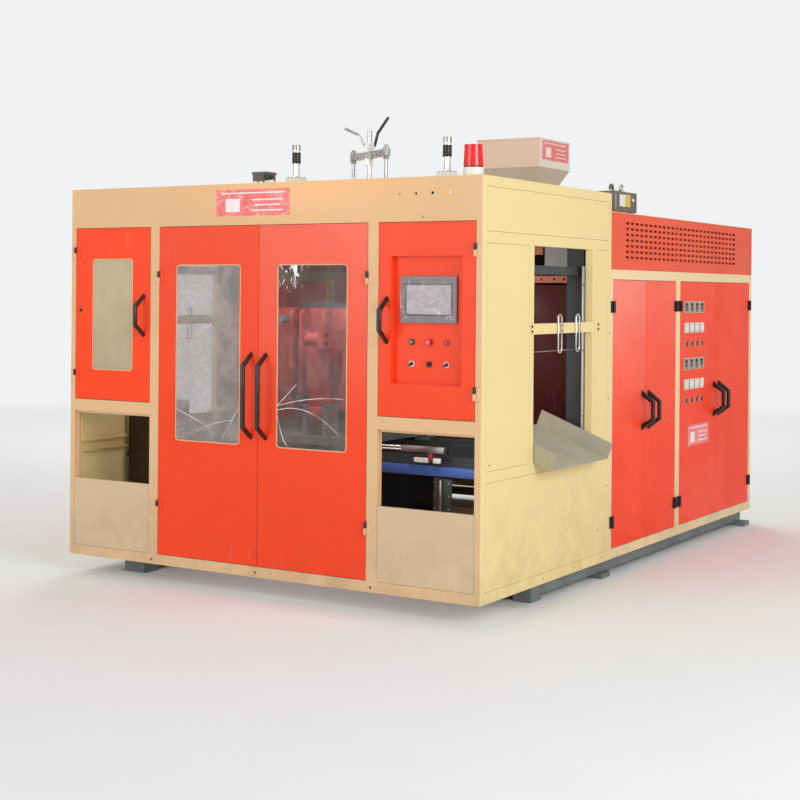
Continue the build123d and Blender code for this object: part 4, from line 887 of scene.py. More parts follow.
        sheet_paint("hinge paint", front, front, dirt=0.1, zones=hinge_zones)
        metal_finish("bright steel", (0.78, 0.77, 0.75), (0.52, 0.49, 0.45), (1.0, 1.0, 14.0), 50.0, -0.05)
        metal_finish("dull steel", (0.5, 0.49, 0.48), (0.28, 0.26, 0.24), (3.0, 3.0, 3.0), 40.0, 0.15)
        metal_finish("drawn rod", (0.82, 0.81, 0.8), (0.62, 0.6, 0.57), (12.0, 12.0, 0.6), 40.0, -0.1)
        metal_finish("yoke steel", (0.62, 0.6, 0.58), (0.3, 0.27, 0.25), (4.0, 4.0, 4.0), 30.0, 0.0)
        casting_finish("red casting", tint(168, 62, 56), tint(196, 104, 98))
        casting_finish("grey casting", tint(118, 122, 124), tint(90, 92, 94), rough=0.6)
        casting_finish("dark casting", tint(70, 70, 72), tint(104, 100, 96), rough=0.5)
        moulded_finish("black handle plastic", tint(22, 18, 19), rough=0.3, coat_weight=0.2)
        moulded_finish("black plastic", tint(30, 28, 29), rough=0.45)
        moulded_finish("bezel plastic", tint(78, 64, 72), rough=0.32, coat_weight=0.4)
        moulded_finish("white plastic", tint(238, 236, 230), rough=0.4, fleck=0.03)
        moulded_finish("beige plastic", tint(200, 188, 174), rough=0.45, fleck=0.04)
        moulded_finish("pale plastic", tint(222, 214, 206), rough=0.4, fleck=0.04)
        moulded_finish("green plastic", tint(58, 150, 92), rough=0.3, coat_weight=0.5, fleck=0.06)
        moulded_finish("red plastic", tint(214, 36, 34), rough=0.3, coat_weight=0.5, fleck=0.06)
        moulded_finish("dark red plastic", tint(176, 24, 24), rough=0.35, coat_weight=0.4, fleck=0.06)
        moulded_finish("yellow plastic", tint(226, 190, 74), rough=0.4, fleck=0.05)
        moulded_finish("display glass", tint(42, 46, 44), rough=0.12, coat_weight=0.8, fleck=0.2)
        moulded_finish("hole shade", tint(24, 18, 16), rough=0.8, coat_weight=0.0, fleck=0.2)
        tree, shader = moulded_finish("lens red", tint(226, 18, 22), rough=0.2, coat_weight=0.7, fleck=0.08)
        shader.inputs["Emission Color"].default_value = opaque(tint(200, 10, 12))
        shader.inputs["Emission Strength"].default_value = 0.15
        self.mix_screen()
        self.mix_films()
        self.mix_label()
        return {"FINISHED"}

    def mix_screen(self):
        """A switched-off panel glass under its film; its pale lilac greys, soft blocks and pale flecks are painted
        reflection of glare on the dark glass.
        """
        tree, shader = surface("screen glass")
        soft = noise(tree, 22.0, 2.0, 0.5, stretched(tree, (1.0, 1.0, 1.6)))
        fine = noise(tree, 90.0, 3.0, 0.6)
        # Painted reflection: pale lilac greys and pale flecks on the dark glass.
        base = mixed(tree, spread(tree, soft, 0.35, 0.65), opaque(tint(112, 95, 102)), opaque(tint(138, 119, 126)))
        tree.links.new(
            mixed(tree, spread(tree, fine, 0.58, 0.75, 0.0, 0.3), base, opaque(tint(196, 178, 184))),
            shader.inputs["Base Color"],
        )
        shader.inputs["Roughness"].default_value = 0.16
        shader.inputs["Coat Weight"].default_value = 0.8
        raise_surface(tree, shader, soft, 0.05, 0.002)

    def mix_films(self):
        """The window sheets, from clear to papered."""
        pane_finish("clear pane", tint(190, 176, 174), 0.02, 0.1, rough=0.08)
        pane_finish("papered pane", tint(190, 174, 140), 0.965, 0.995, rough=0.35, scale=3.0, streaks=(1.0, 1.0, 0.5))
        pane_finish("hazy pane", tint(176, 166, 162), 0.36, 0.66, rough=0.25, scale=6.0)
        self.mix_folds()

    def mix_folds(self):
        """Clear film whose long folds show as pale lines, painted highlights where they catch the light, and a gathered
        corner in pale blobs, partly painted highlight.
        """
        tree, shader = surface("folded film")
        across, _, height = axes(tree)
        folds = (
            (0.118, 0.975, 0.3, -0.437, 0.0022, 0.54),
            (0.118, 0.954, 0.3, -1.551, 0.0022, 0.5),
            (0.118, 0.975, 0.96, 0.0, 0.003, 0.25),
            (0.118, 0.942, -4.5, 30.8, 0.007, 0.19),
            (-0.538, 0.932, -0.33, -0.25, 0.0026, -0.3),
            (-0.25, 0.76, 1.54, 0.0, 0.0034, -0.117),
            (-0.4, 0.82, 0.5, -0.9, 0.002, -0.15),
        )
        # Painted highlights: pale lines along the folds.
        masks = []
        for start, sill, slope, bend, width, stop in folds:
            run = sums(tree, "SUBTRACT", across, start)
            curve = sums(tree, "MULTIPLY", run, sums(tree, "ADD", sums(tree, "MULTIPLY", run, bend), slope))
            gap = sums(tree, "ABSOLUTE", sums(tree, "SUBTRACT", sums(tree, "SUBTRACT", height, sill), curve))
            line = spread(tree, gap, width, width * 0.4)
            inside = sums(tree, "MULTIPLY", spread(tree, run, -0.001, 0.001), spread(tree, across, stop, stop - 0.03))
            masks.append(sums(tree, "MULTIPLY", line, inside))
        mask = masks[0]
        for more in masks[1:]:
            mask = sums(tree, "MAXIMUM", mask, more)
        broken = spread(tree, noise(tree, 14.0, 3.0, 0.6), 0.38, 0.6, 0.25, 1.0)
        corner = wire(
            tree, "ShaderNodeVectorMath", {0: object_place(tree), 1: (0.2, face_y, 1.655)}, operation="DISTANCE",
        ).outputs["Value"]
        blobs = spread(tree, noise(tree, 26.0, 3.0, 0.6, stretched(tree, (1.0, 1.0, 0.5)), distortion=1.5), 0.56, 0.62)
        gathered = sums(tree, "MULTIPLY", spread(tree, corner, 0.11, 0.05), blobs)
        cover = sums(tree, "MAXIMUM", sums(tree, "MULTIPLY", mask, broken), gathered)
        tree.links.new(spread(tree, cover, 0.0, 1.0, 0.015, 0.92), shader.inputs["Alpha"])
        fine = noise(tree, 60.0, 2.0)
        tree.links.new(
            mixed(tree, spread(tree, fine, 0.3, 0.7), (0.86, 0.8, 0.8, 1), (0.96, 0.94, 0.93, 1)),
            shader.inputs["Base Color"],
        )
        shader.inputs["Roughness"].default_value = 0.2
        tree, shader = surface("screen film")
        # The film shows only as pale crease streaks: painted highlights.
        glints = use_group(tree, "film creases", {"Scale": 34.0, "Width": 0.03})
        sparse = spread(tree, noise(tree, 20.0, 3.0, 0.6), 0.56, 0.68)
        tree.links.new(
            spread(tree, sums(tree, "MULTIPLY", glints["Mask"], sparse), 0.0, 1.0, 0.03, 0.85), shader.inputs["Alpha"],
        )
        shader.inputs["Base Color"].default_value = (0.9, 0.87, 0.88, 1)
        shader.inputs["Roughness"].default_value = 0.12
        raise_surface(tree, shader, glints["Height"], 0.3, 0.004)

    def mix_label(self):
        """A printed field under a wrinkled film, its pale crease lines painted highlights."""
        colours = settings().label_colours
        for name, colour in (("label field", colours.field), ("label mark", colours.mark)):
            tree, shader = surface(name)
            wrinkles = use_group(tree, "film creases", {"Scale": 16.0, "Width": 0.02})
            paler = [part * 0.6 + 0.38 for part in colour]
            clouds = spread(tree, noise(tree, 9.0, 4.0, 0.6), 0.4, 0.7, 0.0, 0.35)
            shaded = mixed(tree, clouds, opaque(colour), opaque(paler))
            # Painted highlights: pale lines along the film's wrinkles.
            tree.links.new(
                mixed(tree, sums(tree, "MULTIPLY", wrinkles["Mask"], 0.55), shaded, (0.98, 0.9, 0.88, 1)),
                shader.inputs["Base Color"],
            )
            shader.inputs["Roughness"].default_value = 0.3
            shader.inputs["Coat Weight"].default_value = 0.4
            raise_surface(tree, shader, wrinkles["Height"], 0.2, 0.003)


class MACHINE_OT_paint_cabinet(bpy.types.Operator):
    """Paint the structure that comes from the CAD frame"""

    bl_idname = "machine.paint_cabinet"
    bl_label = "Paint the structure"

    def execute(self, context):
        finishes = {
            "cream as lit on the front": ("front_frame",),
            "cream as lit on the sides": ("front_cabinet_frame", "side_crossbars"),
            "panel paint": ("fixed_panels",),
            "cream rear paint": ("rear_frame", "back_panels"),
            "roof paint": ("roof_sheets",),
            "hinge paint": ("frame_hinges",),
            "left door paint": ("front_left_door",),
            "centre left door paint": ("centre_left_door",),
            "centre right door paint": ("centre_right_door",),
            "control door paint": ("control_door",),
            "vent paint": ("vent_panels",),
            "base paint": ("base_frame",),
            "portal paint": ("inner_frame",),
            "chute paint": ("chutes",),
            "hopper paint": ("hopper",),
            "white paint": ("blow_cylinders",),
            "brown grey paint": ("transformer", "junction_box"),
            "grey box paint": ("electrical_plate",),
            "dark machine paint": ("gearbox", "drive_motor", "hydraulic_unit"),
            "dull steel": ("extruder_barrel", "die_head"),
            "bright steel": ("core_screw", "crossbar_hooks"),
            "drawn rod": ("left_blow_rod", "right_blow_rod"),
            "yoke steel": ("lift_frame", "hand_nut"),
            "red casting": (
                "left_front_platen", "right_front_platen", "left_rear_platen", "right_rear_platen",
                "left_rocker", "right_rocker",
            ),
            "grey casting": ("shuttle_frame",),
            "bezel plastic": ("touch_screen",),
            "black plastic": (
                "button_collars", "key_switch", "left_selector", "right_selector",
            ),
            "green plastic": ("green_button",),
            "red plastic": ("red_button", "stop_button"),
            "beige plastic": ("zone_instruments",),
            "lens red": ("beacon",),
            "papered pane": ("front_left_window",),
            "clear pane": ("centre_left_window", "centre_right_window"),
        }
        for finish, nodes in finishes.items():
            for node in nodes:
                paint_node(node, finish)
        for side in ("right", "left"):
            for number in (1, 2, 3, 4):
                paint_node(f"{side}_door_{number}", f"side door paint {number}")
        return {"FINISHED"}


class MACHINE_OT_bow_handles(bpy.types.Operator):
    """Bend the round bow handles and put one on every door"""

    bl_idname = "machine.bow_handles"
    bl_label = "Bow handles"

    def bend(self, name, low, length):
        """A handle on the front plane, from its lowest point up, with mitred bends."""
        sizes = settings().handle_sizes
        foot = Vector((0, 0, low + sizes.radius))
        knee = Vector((0, -sizes.standoff, low + sizes.radius + sizes.lean))
        middle_height = low + length / 2
        leg_way = (knee - foot).normalized()
        mitre = (leg_way + Vector((0, 0, 1))).normalized()
        clear_selection()
        reach = (knee - foot).length + 0.05
        bpy.ops.mesh.primitive_cylinder_add(
            vertices=24, radius=sizes.radius, depth=reach, end_fill_type="NOTHING",
            location=foot + leg_way * (reach / 2 - 0.02),
            rotation=(-Vector((0, 0, 1)).angle(leg_way) * -1, 0, 0),
        )
        leg = bpy.context.object
        settle(leg)
        for place, way in ((knee, mitre), (Vector((0, -0.0005, 0)), Vector((0, 1, 0)))):
            pick_faces(leg, lambda middle, normal: True)
            bpy.ops.mesh.bisect(plane_co=place, plane_no=way, clear_outer=True)
            leave_edit()
        clear_selection()
        bpy.ops.mesh.primitive_cylinder_add(
            vertices=24, radius=sizes.radius, depth=length / 2, end_fill_type="NOTHING",
            location=(0, -sizes.standoff, middle_height - length / 4),
        )
        bar = bpy.context.object
        settle(bar)
        pick_faces(bar, lambda middle, normal: True)
        bpy.ops.mesh.bisect(plane_co=knee, plane_no=mitre, clear_inner=True)
        leave_edit()
        half = joined(name, [leg, bar])
        pick_points(half, lambda place: True)
        bpy.ops.mesh.remove_doubles(threshold=0.0004)
        leave_edit()
        half.location = (0, 0, -middle_height)
        settle(half)
        modify(half, "MIRROR", use_axis=(False, False, True), merge_threshold=0.0002)
        half.location = (0, 0, middle_height - low)
        settle(half)
        pick_points(half, lambda place: True)
        bpy.ops.mesh.normals_make_consistent(inside=False)
        leave_edit()
        return half

    def execute(self, context):
        patterns = {}
        for door in all_doors():
            if door.handle_length not in patterns:
                patterns[door.handle_length] = self.bend("handle pattern", 0.0, door.handle_length)
            place = door.spot(door.handle, 0.0, door.handle_low)
            handle = copy_of(patterns[door.handle_length], f"{door.body}_handle", place, door.turn())
            coat(handle, "black handle plastic")
            mount(handle, door.body, 30)
        put_away(*patterns.values())
        return {"FINISHED"}


class MACHINE_OT_barrel_hinges(bpy.types.Operator):
    """Turn the hinge barrels and screw the hinge leaves of the side doors down"""

    bl_idname = "machine.barrel_hinges"
    bl_label = "Barrel hinges"

    def execute(self, context):
        barrel = drum("barrel pattern", (0, 0, 0.0155), 0.0075, 0.0305, sides=20, rounding=0.0012)
        screw = drum("leaf screw pattern", (0, -0.0006, 0), 0.0042, 0.0016, axis="Y", sides=14, rounding=0.0006)
        step_in(screw, lambda middle, normal: normal.y < -0.9 and abs(middle.x) < 0.002, 0.0014, -0.0006)
        lower = {"front": [], "right": [], "left": []}
        for door in all_doors():
            upper = []
            for sill in door.sills:
                axis = door.spot(door.axis, 0.009, sill)
                upper.append(copy_of(barrel, "upper barrel", axis + Vector((0, 0, 0.033))))
                lower[door.facing].append(copy_of(barrel, "lower barrel", axis))
                for height in (0.014, 0.05) if door.facing != "front" else ():
                    spot = door.spot(door.axis + door.leaf * 0.0195, 0.005, sill + height)
                    upper.append(copy_of(screw, "leaf screw", spot, door.turn()))
                    spot = door.spot(door.axis - door.leaf * 0.0195, 0.005, sill + height)
                    lower[door.facing].append(copy_of(screw, "leaf screw", spot, door.turn()))
            made = joined(f"{door.body}_hinge_barrels", upper)
            coat(made, "black plastic")
            mount(made, door.body)
        for facing, parts in lower.items():
            made = joined(f"{facing}_frame_barrels", parts)
            coat(made, "cream as lit on the front" if facing == "front" else "black plastic")
            mount(made, "cabinet")
        put_away(barrel, screw)
        return {"FINISHED"}


class MACHINE_OT_window_highlight_beads(bpy.types.Operator):
    """Lay a pale bead round every window cut, a painted highlight along the cut edge"""

    bl_idname = "machine.window_beads"
    bl_label = "Window highlight beads"

    def execute(self, context):
        for side in ("front_left", "centre_left", "centre_right"):
            low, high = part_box(f"{side}_window")
            width = high.x - low.x - 2 * pane_lap
            height = high.z - low.z - 2 * pane_lap
            middle = ((low.x + high.x) / 2, face_y + 0.0028, (low.z + high.z) / 2)
            highlight_bead = plate(
                f"{side}_bead", middle, width + 0.004, height + 0.004, 0.0042, "front",
                corner=0.021, hole=0.0055, rounding=0.0012,
            )
            # The bead's pale cream stands in for the highlight on the cut edge: painted highlight.
            coat(highlight_bead, "cream as lit on the front")
            mount(highlight_bead, f"{side}_door")
        return {"FINISHED"}


class MACHINE_OT_window_films(bpy.types.Operator):
    """Stretch the folded film over both centre windows and the hazy one over the left"""

    bl_idname = "machine.window_films"
    bl_label = "Window films"

    def execute(self, context):
        for side, out in (("centre_left", 0.0024), ("centre_right", 0.0024)):
            low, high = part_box(f"{side}_window")
            width = high.x - low.x - 2 * pane_lap - 0.002
            height = high.z - low.z - 2 * pane_lap - 0.002
            middle = Vector(((low.x + high.x) / 2, face_y + out, (low.z + high.z) / 2))
            layers = {"folded film": -0.0016}
            if side == "centre_left":
                layers["hazy pane"] = 0.0
            for finish, lift in layers.items():
                place = middle + Vector((0, lift, 0))
                film = plate(
                    f"{side}_{finish.replace(' ', '_')}", place, width, height, 0.0003, "front", corner=0.02,
                )
                coat(film, finish)
                mount(film, f"{side}_door")
        return {"FINISHED"}


class MACHINE_OT_label_fields(bpy.types.Operator):
    """Stick the plain red label fields on the header, a side door and the hopper"""

    bl_idname = "machine.label_fields"
    bl_label = "Label fields"

    def field(self, name, middle, width, height, facing, body):
        """A red field with a pale panel and three bars."""
        parts = [coat(plate(name, middle, width, height, 0.0006, facing, corner=0.004), "label field")]
        ways = {"front": (Vector((1, 0, 0)), Vector((0, -1, 0))), "right": (Vector((0, 1, 0)), Vector((1, 0, 0)))}
        along, out = ways[facing]
        centre = Vector(middle) + out * 0.0007
        marks = (
            (0.0, 0.36, 0.86, 0.05),
            (-0.27, -0.1, 0.2, 0.5),
            (0.2, 0.1, 0.42, 0.05),
            (0.2, -0.1, 0.36, 0.05),
            (0.2, -0.3, 0.42, 0.05),
        )
        for number, (across, upward, wide, high) in enumerate(marks):
            place = centre + along * (across * width) + Vector((0, 0, upward * height))
            mark = plate(f"{name} mark {number}", place, wide * width, high * height, 0.0002, facing, corner=0.002)
            parts.append(coat(mark, "label mark"))
        made = joined(name, parts)
        mount(made, body)

    def execute(self, context):
        self.field("header_label", (-0.0445, face_y, 2.0045), 0.466, 0.135, "front", "cabinet")
        self.field("side_door_label", (side_x, 0.9615, 0.6835), 0.364, 0.127, "right", "right_door_3")
        low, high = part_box("hopper")
        self.field("hopper_label", (high.x, (low.y + high.y) / 2 + 0.01, high.z - 0.076), 0.4, 0.13, "right", "cabinet")
        return {"FINISHED"}


class MACHINE_OT_touch_screen(bpy.types.Operator):
    """Fit the panel glass, its ledge and the protective film"""

    bl_idname = "machine.touch_screen"
    bl_label = "Touch screen"

    def execute(self, context):
        low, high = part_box("touch_screen")
        middle = ((low.x + high.x) / 2, low.y, (low.z + high.z) / 2)
        glass = plate(
            "screen_glass", (middle[0], low.y + 0.0018, middle[2]), 0.2444, 0.1384, 0.0012, "front", corner=0.002,
        )
        coat(glass, "screen glass")
        mount(glass, "control_door")
        lip = plate(
            "screen_lip", (middle[0], low.y, middle[2]), 0.262, 0.156, 0.0016, "front", corner=0.004, hole=0.008,
            rounding=0.0005,
        )
        coat(lip, "bezel plastic")
        mount(lip, "control_door")
        film = plate(
            "screen_film", (middle[0], low.y - 0.0016, middle[2]), high.x - low.x + 0.006, high.z - low.z - 0.004,
            0.0002, "front", corner=0.006,
        )
        coat(film, "screen film")
        mount(film, "control_door")
        return {"FINISHED"}


class MACHINE_OT_control_buttons(bpy.types.Operator):
    """Turn the round collars, buttons and selectors of the control panel"""

    bl_idname = "machine.control_buttons"
    bl_label = "Control buttons"

    def middle(self, node):
        """The middle of a control on the recess floor."""
        low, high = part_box(node)
        return Vector(((low.x + high.x) / 2, recess_y, (low.z + high.z) / 2))

    def execute(self, context):
        controls = ("green_button", "red_button", "stop_button", "left_selector", "key_switch", "right_selector")
        places = {node: self.middle(node) for node in controls}
        collars = []
        for node, place in places.items():
            ring = sleeve("collar", place + Vector((0, -0.003, 0)), 0.015, 0.006, 0.0055, "Y", rounding=0.001)
            tail = sleeve("collar tail", place + Vector((0, 0.0205, 0)), 0.0109, 0.043, 0.0014, "Y", 24)
            finish = "dark red plastic" if node == "stop_button" else "black plastic"
            if node.endswith("selector"):
                finish = "pale plastic"
            collars.append(joined("collar", [coat(ring, finish), coat(tail, "black plastic")]))
        ring = joined("round_collars", collars)
        mount(ring, "control_door")
        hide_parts("button_collars")
        for node, finish in (("green_button", "green plastic"), ("stop_button", "dark red plastic")):
            place = places[node]
            cap = drum(f"{node}_cap", place + Vector((0, 0.0005, 0)), 0.0088, 0.023, "Y", 28, 0.0015, steps=3)
            step_in(cap, lambda centre, normal: normal.y < -0.95 and centre.y < place.y - 0.01, 0.0015, -0.0008)
            coat(cap, finish)
            mount(cap, node)
            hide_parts(node)
        place = places["red_button"]
        stem = drum("mushroom stem", place + Vector((0, -0.001, 0)), 0.0088, 0.026, "Y", 24)
        head = drum("mushroom head", place + Vector((0, -0.0155, 0)), 0.0175, 0.009, "Y", 36, 0.003, steps=4)
        step_in(head, lambda centre, normal: normal.y < -0.98, 0.004, 0.0015)
        mushroom = joined("red_button_mushroom", [coat(head, "red plastic"), coat(stem, "black plastic")])
        mount(mushroom, "red_button")
        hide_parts("red_button")
        for node in ("left_selector", "right_selector", "key_switch"):
            place = places[node]
            disc = drum("selector disc", place + Vector((0, 0.0035, 0)), 0.0088, 0.023, "Y", 28, 0.0012)
            if node == "key_switch":
                grip = block(
                    "key grip", place + Vector((-0.008, -0.019, -0.0015)), place + Vector((0.008, -0.008, 0.0015)),
                    0.0008,
                )
            else:
                grip = block(
                    "selector grip", place + Vector((-0.012, -0.019, -0.004)), place + Vector((0.012, -0.008, 0.004)),
                    0.0012,
                )
            grip.location = -place
            settle(grip)
            grip.rotation_euler = (0, math.radians(-45), 0)
            settle(grip)
            grip.location = place
            settle(grip)
            made = joined(f"{node}_knob", [coat(grip, "black plastic"), coat(disc, "black plastic")])
            mount(made, node)
            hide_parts(node)
        return {"FINISHED"}


class MACHINE_OT_zone_faces(bpy.types.Operator):
    """Face the controllers, meters and switches on the side door"""

    bl_idname = "machine.zone_faces"
    bl_label = "Instrument faces"

    def execute(self, context):
        first = 0.7385
        pitch = 0.088
        front = side_x + 0.006
        banks = (1.475, 1.128)
        controller = self.controller(front)
        meter = self.meter(front)
        switch = self.switch(front)
        parts = {"controllers": [], "meters": [], "switches": []}
        for bank in banks:
            for count in range(4):
                along = first + count * pitch
                parts["controllers"].append(copy_of(controller, "controller", (0, along, bank)))
                parts["meters"].append(copy_of(meter, "meter", (0, along, bank - 0.126)))
                parts["switches"].append(copy_of(switch, "switch", (0, along, bank - 0.224)))
        for name, pieces in parts.items():
            made = joined(f"zone_{name}", pieces)
            mount(made, "right_door_3")
        put_away(controller, meter, switch)
        return {"FINISHED"}

    def controller(self, front):
        """A temperature controller: dark window, two short readings and four keys."""
        parts = [
            coat(plate("window", (front, 0, 0.004), 0.054, 0.052, 0.0012, "right", 0.003, 0.0004), "display glass"),
            coat(plate("upper reading", (front + 0.0012, 0, 0.017), 0.034, 0.009, 0.0003, "right"), "hole shade"),
            coat(plate("lower reading", (front + 0.0012, 0, 0.001), 0.034, 0.009, 0.0003, "right"), "brown grey paint"),
        ]
        for count in range(4):
            key = plate("key", (front, -0.021 + count * 0.014, -0.029), 0.009, 0.006, 0.0014, "right", 0.001, 0.0004)
            parts.append(coat(key, "black plastic"))
        return joined("controller pattern", parts)

    def meter(self, front):
        """A moving-coil meter: white scale, pale lower cover and a needle."""
        parts = [
            coat(plate("scale", (front, 0, 0.006), 0.062, 0.042, 0.001, "right", 0.002), "white plastic"),
            coat(plate("cover", (front, 0, -0.022), 0.062, 0.012, 0.002, "right", 0.001, 0.0005), "pale plastic"),
            coat(plate("needle", (front + 0.0012, -0.004, 0.004), 0.0012, 0.03, 0.0004, "right"), "black plastic"),
        ]
        for count in range(7):
            mark = plate("mark", (front + 0.001, -0.024 + count * 0.008, 0.019), 0.001, 0.005, 0.0003, "right")
            parts.append(coat(mark, "black plastic"))
        return joined("meter pattern", parts)

    def switch(self, front):
        """A rocker switch in its frame."""
        rocker = block("rocker", (front, -0.009, -0.013), (front + 0.005, 0.009, 0.013), 0.0012)
        pick_points(rocker, lambda place: place.x > front + 0.003 and place.z > 0)
        bpy.ops.transform.translate(value=(-0.003, 0, 0))
        leave_edit()
        rim = plate("rocker rim", (front, 0, 0), 0.026, 0.032, 0.0018, "right", 0.002, hole=0.003)
        return joined("switch pattern", [coat(rocker, "black plastic"), coat(rim, "black plastic")])


class MACHINE_OT_vent_panels(bpy.types.Operator):
    """Punch the slotted vent panels"""

    bl_idname = "machine.vent_panels"
    bl_label = "Vent panels"

    def execute(self, context):
        sizes = settings().vent_sizes
        clear_selection()
        bpy.ops.mesh.primitive_plane_add(size=1)
        panel = bpy.context.object
        panel.name = "right_vent_panel"
        panel.scale = (sizes.column_pitch, sizes.row_pitch, 1)
        panel.rotation_euler = facings["right"]
        panel.location = (side_x, rear_start + sizes.first_slot, vent_low.z + sizes.first_row)
        settle(panel)
        border = (sizes.row_pitch - sizes.slot_height) / 2
        pick_faces(panel, lambda middle, normal: True)
        bpy.ops.mesh.inset(thickness=border)
        squeeze = sizes.slot_length / (sizes.column_pitch - 2 * border)
        bpy.ops.transform.resize(value=(1, squeeze, 1))
        bpy.ops.mesh.delete(type="FACE")
        leave_edit()
        rows = (
            (sizes.columns, (0, sizes.column_pitch, 0)),
            (sizes.rows, (0, 0, sizes.row_pitch)),
        )
        for count, way in rows:
            modify(
                panel, "ARRAY", count=count, use_relative_offset=False, use_constant_offset=True,
                constant_offset_displace=way, use_merge_vertices=True, merge_threshold=0.0005,
            )
        edges = (
            (1, min, rear_start), (1, max, rear_end), (2, min, vent_low.z), (2, max, vent_high.z),
        )
        for axis, pick, target in edges:
            limit = pick(point.co[axis] for point in panel.data.vertices)
            pick_points(panel, lambda place: abs(place[axis] - limit) < 0.0002)
            way = [0, 0, 0]
            way[axis] = target - limit
            bpy.ops.mesh.extrude_region_move(TRANSFORM_OT_translate={"value": way})
            leave_edit()
        pick_points(panel, lambda place: True)
        bpy.ops.mesh.normals_make_consistent(inside=False)
        leave_edit()
        if sum(face.normal.x for face in panel.data.polygons) < 0:
            pick_points(panel, lambda place: True)
            bpy.ops.mesh.flip_normals()
            leave_edit()
        modify(panel, "SOLIDIFY", thickness=0.003, offset=-1)
        coat(panel, "vent paint")
        second = other_side(panel, "left_vent_panel")
        both = joined("slotted_vent_panels", [panel, second])
        mount(both, "cabinet", 20)
        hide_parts("vent_panels")
        # Inner orange sheets behind the slots, darker as painted shade seen through them.
        liners = []
        for start, end in ((rear_start + 0.06, 0.575), (0.63, rear_end - 0.06)):
            place = (side_x - 0.02, (start + end) / 2, (vent_low.z + vent_high.z) / 2)
            liner = plate("liner", place, end - start, vent_high.z - vent_low.z - 0.03, 0.002, "right", rounding=0.0004)
            liners.append(liner)
        inner = joined("right_liner", liners)
        both = joined("vent_liners", [inner, other_side(inner, "left_liner")])
        coat(both, "liner paint in painted shade")
        mount(both, "cabinet")
        return {"FINISHED"}


class MACHINE_OT_beacon(bpy.types.Operator):
    """Turn the ribbed warning lamp"""

    bl_idname = "machine.beacon"
    bl_label = "Beacon"

    def execute(self, context):
        low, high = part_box("beacon")
        centre = ((low.x + high.x) / 2, (low.y + high.y) / 2)
        split = low.z + 0.05
        base = drum("beacon base", (*centre, low.z + 0.022), 0.0505, 0.044, sides=48, rounding=0.003, tip=0.049)
        collar = drum("beacon collar", (*centre, low.z + 0.047), 0.046, 0.008, sides=48, rounding=0.001)
        lens = drum("beacon lens", (*centre, split + 0.05), 0.0465, 0.1, sides=40, tip=0.0405)
        ribs = {face.index for face in lens.data.polygons if abs(face.normal.z) < 0.5 and face.index % 2 == 0}
        chosen = {tuple(round(part, 5) for part in lens.data.polygons[index].center) for index in ribs}
        pick_faces(lens, lambda middle, normal: tuple(round(part, 5) for part in middle) in chosen)
        bpy.ops.mesh.inset(thickness=0.0008)
        bpy.ops.mesh.extrude_region_shrink_fatten(TRANSFORM_OT_shrink_fatten={"value": 0.0018})
        leave_edit()
        step_in(lens, lambda middle, normal: normal.z > 0.9 and middle.z > split + 0.09, 0.006, 0.002)
        parts = [coat(base, "white plastic"), coat(collar, "black plastic"), coat(lens, "lens red")]
        lamp = joined("ribbed_beacon", parts)
        mount(lamp, "cabinet", 50)
        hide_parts("beacon")
        return {"FINISHED"}


class MACHINE_OT_rod_hooks(bpy.types.Operator):
    """Bend the rod hooks and bolt the crossbars"""

    bl_idname = "machine.rod_hooks"
    bl_label = "Rod hooks"

    def execute(self, context):
        low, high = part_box("crossbar_hooks")
        bar_low, bar_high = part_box("side_crossbars")
        width = 0.05
        radius = 0.005
        hooks = []
        bolts = []
        for along in (low.y + width / 2, high.y - width / 2):
            clear_selection()
            bpy.ops.mesh.primitive_torus_add(
                major_radius=width / 2 - radius, minor_radius=radius, major_segments=40, minor_segments=14,
                location=(bar_high.x + radius, along, low.z + width / 2), rotation=(0, math.pi / 2, 0),
            )
            hook = bpy.context.object
            hook.name = "rod hook"
            settle(hook)
            pick_points(hook, lambda place: place.z > low.z + width / 2 + 0.0005)
            bpy.ops.transform.translate(value=(0, 0, high.z - low.z - width))
            leave_edit()
            hooks.append(coat(hook, "bright steel"))
            for height in (0.013, bar_high.z - bar_low.z - 0.013):
                bolts.append((along + 0.036, bar_low.z + height))
        for along in (bar_low.y + 0.012, bar_high.y - 0.012):
            for height in (0.014, bar_high.z - bar_low.z - 0.014):
                bolts.append((along, bar_low.z + height))
        bolt = drum("bolt pattern", (0.0022, 0, 0), 0.0068, 0.0044, "X", 18, 0.0012)
        step_in(bolt, lambda middle, normal: normal.x > 0.95, 0.002, -0.0018)
        heads = [coat(copy_of(bolt, "bolt", (bar_high.x, *place)), "black plastic") for place in bolts]
        right_hooks = joined("right_rod_hooks", hooks)
        right_bolts = joined("right_bar_bolts", heads)
        left_hooks = other_side(right_hooks, "left_rod_hooks")
        left_bolts = other_side(right_bolts, "left_bar_bolts")
        both = joined("rod_hooks", [right_hooks, left_hooks])
        mount(both, "cabinet")
        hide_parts("crossbar_hooks")
        mount(joined("bar_bolts", [right_bolts, left_bolts]), "cabinet")
        put_away(bolt)
        return {"FINISHED"}


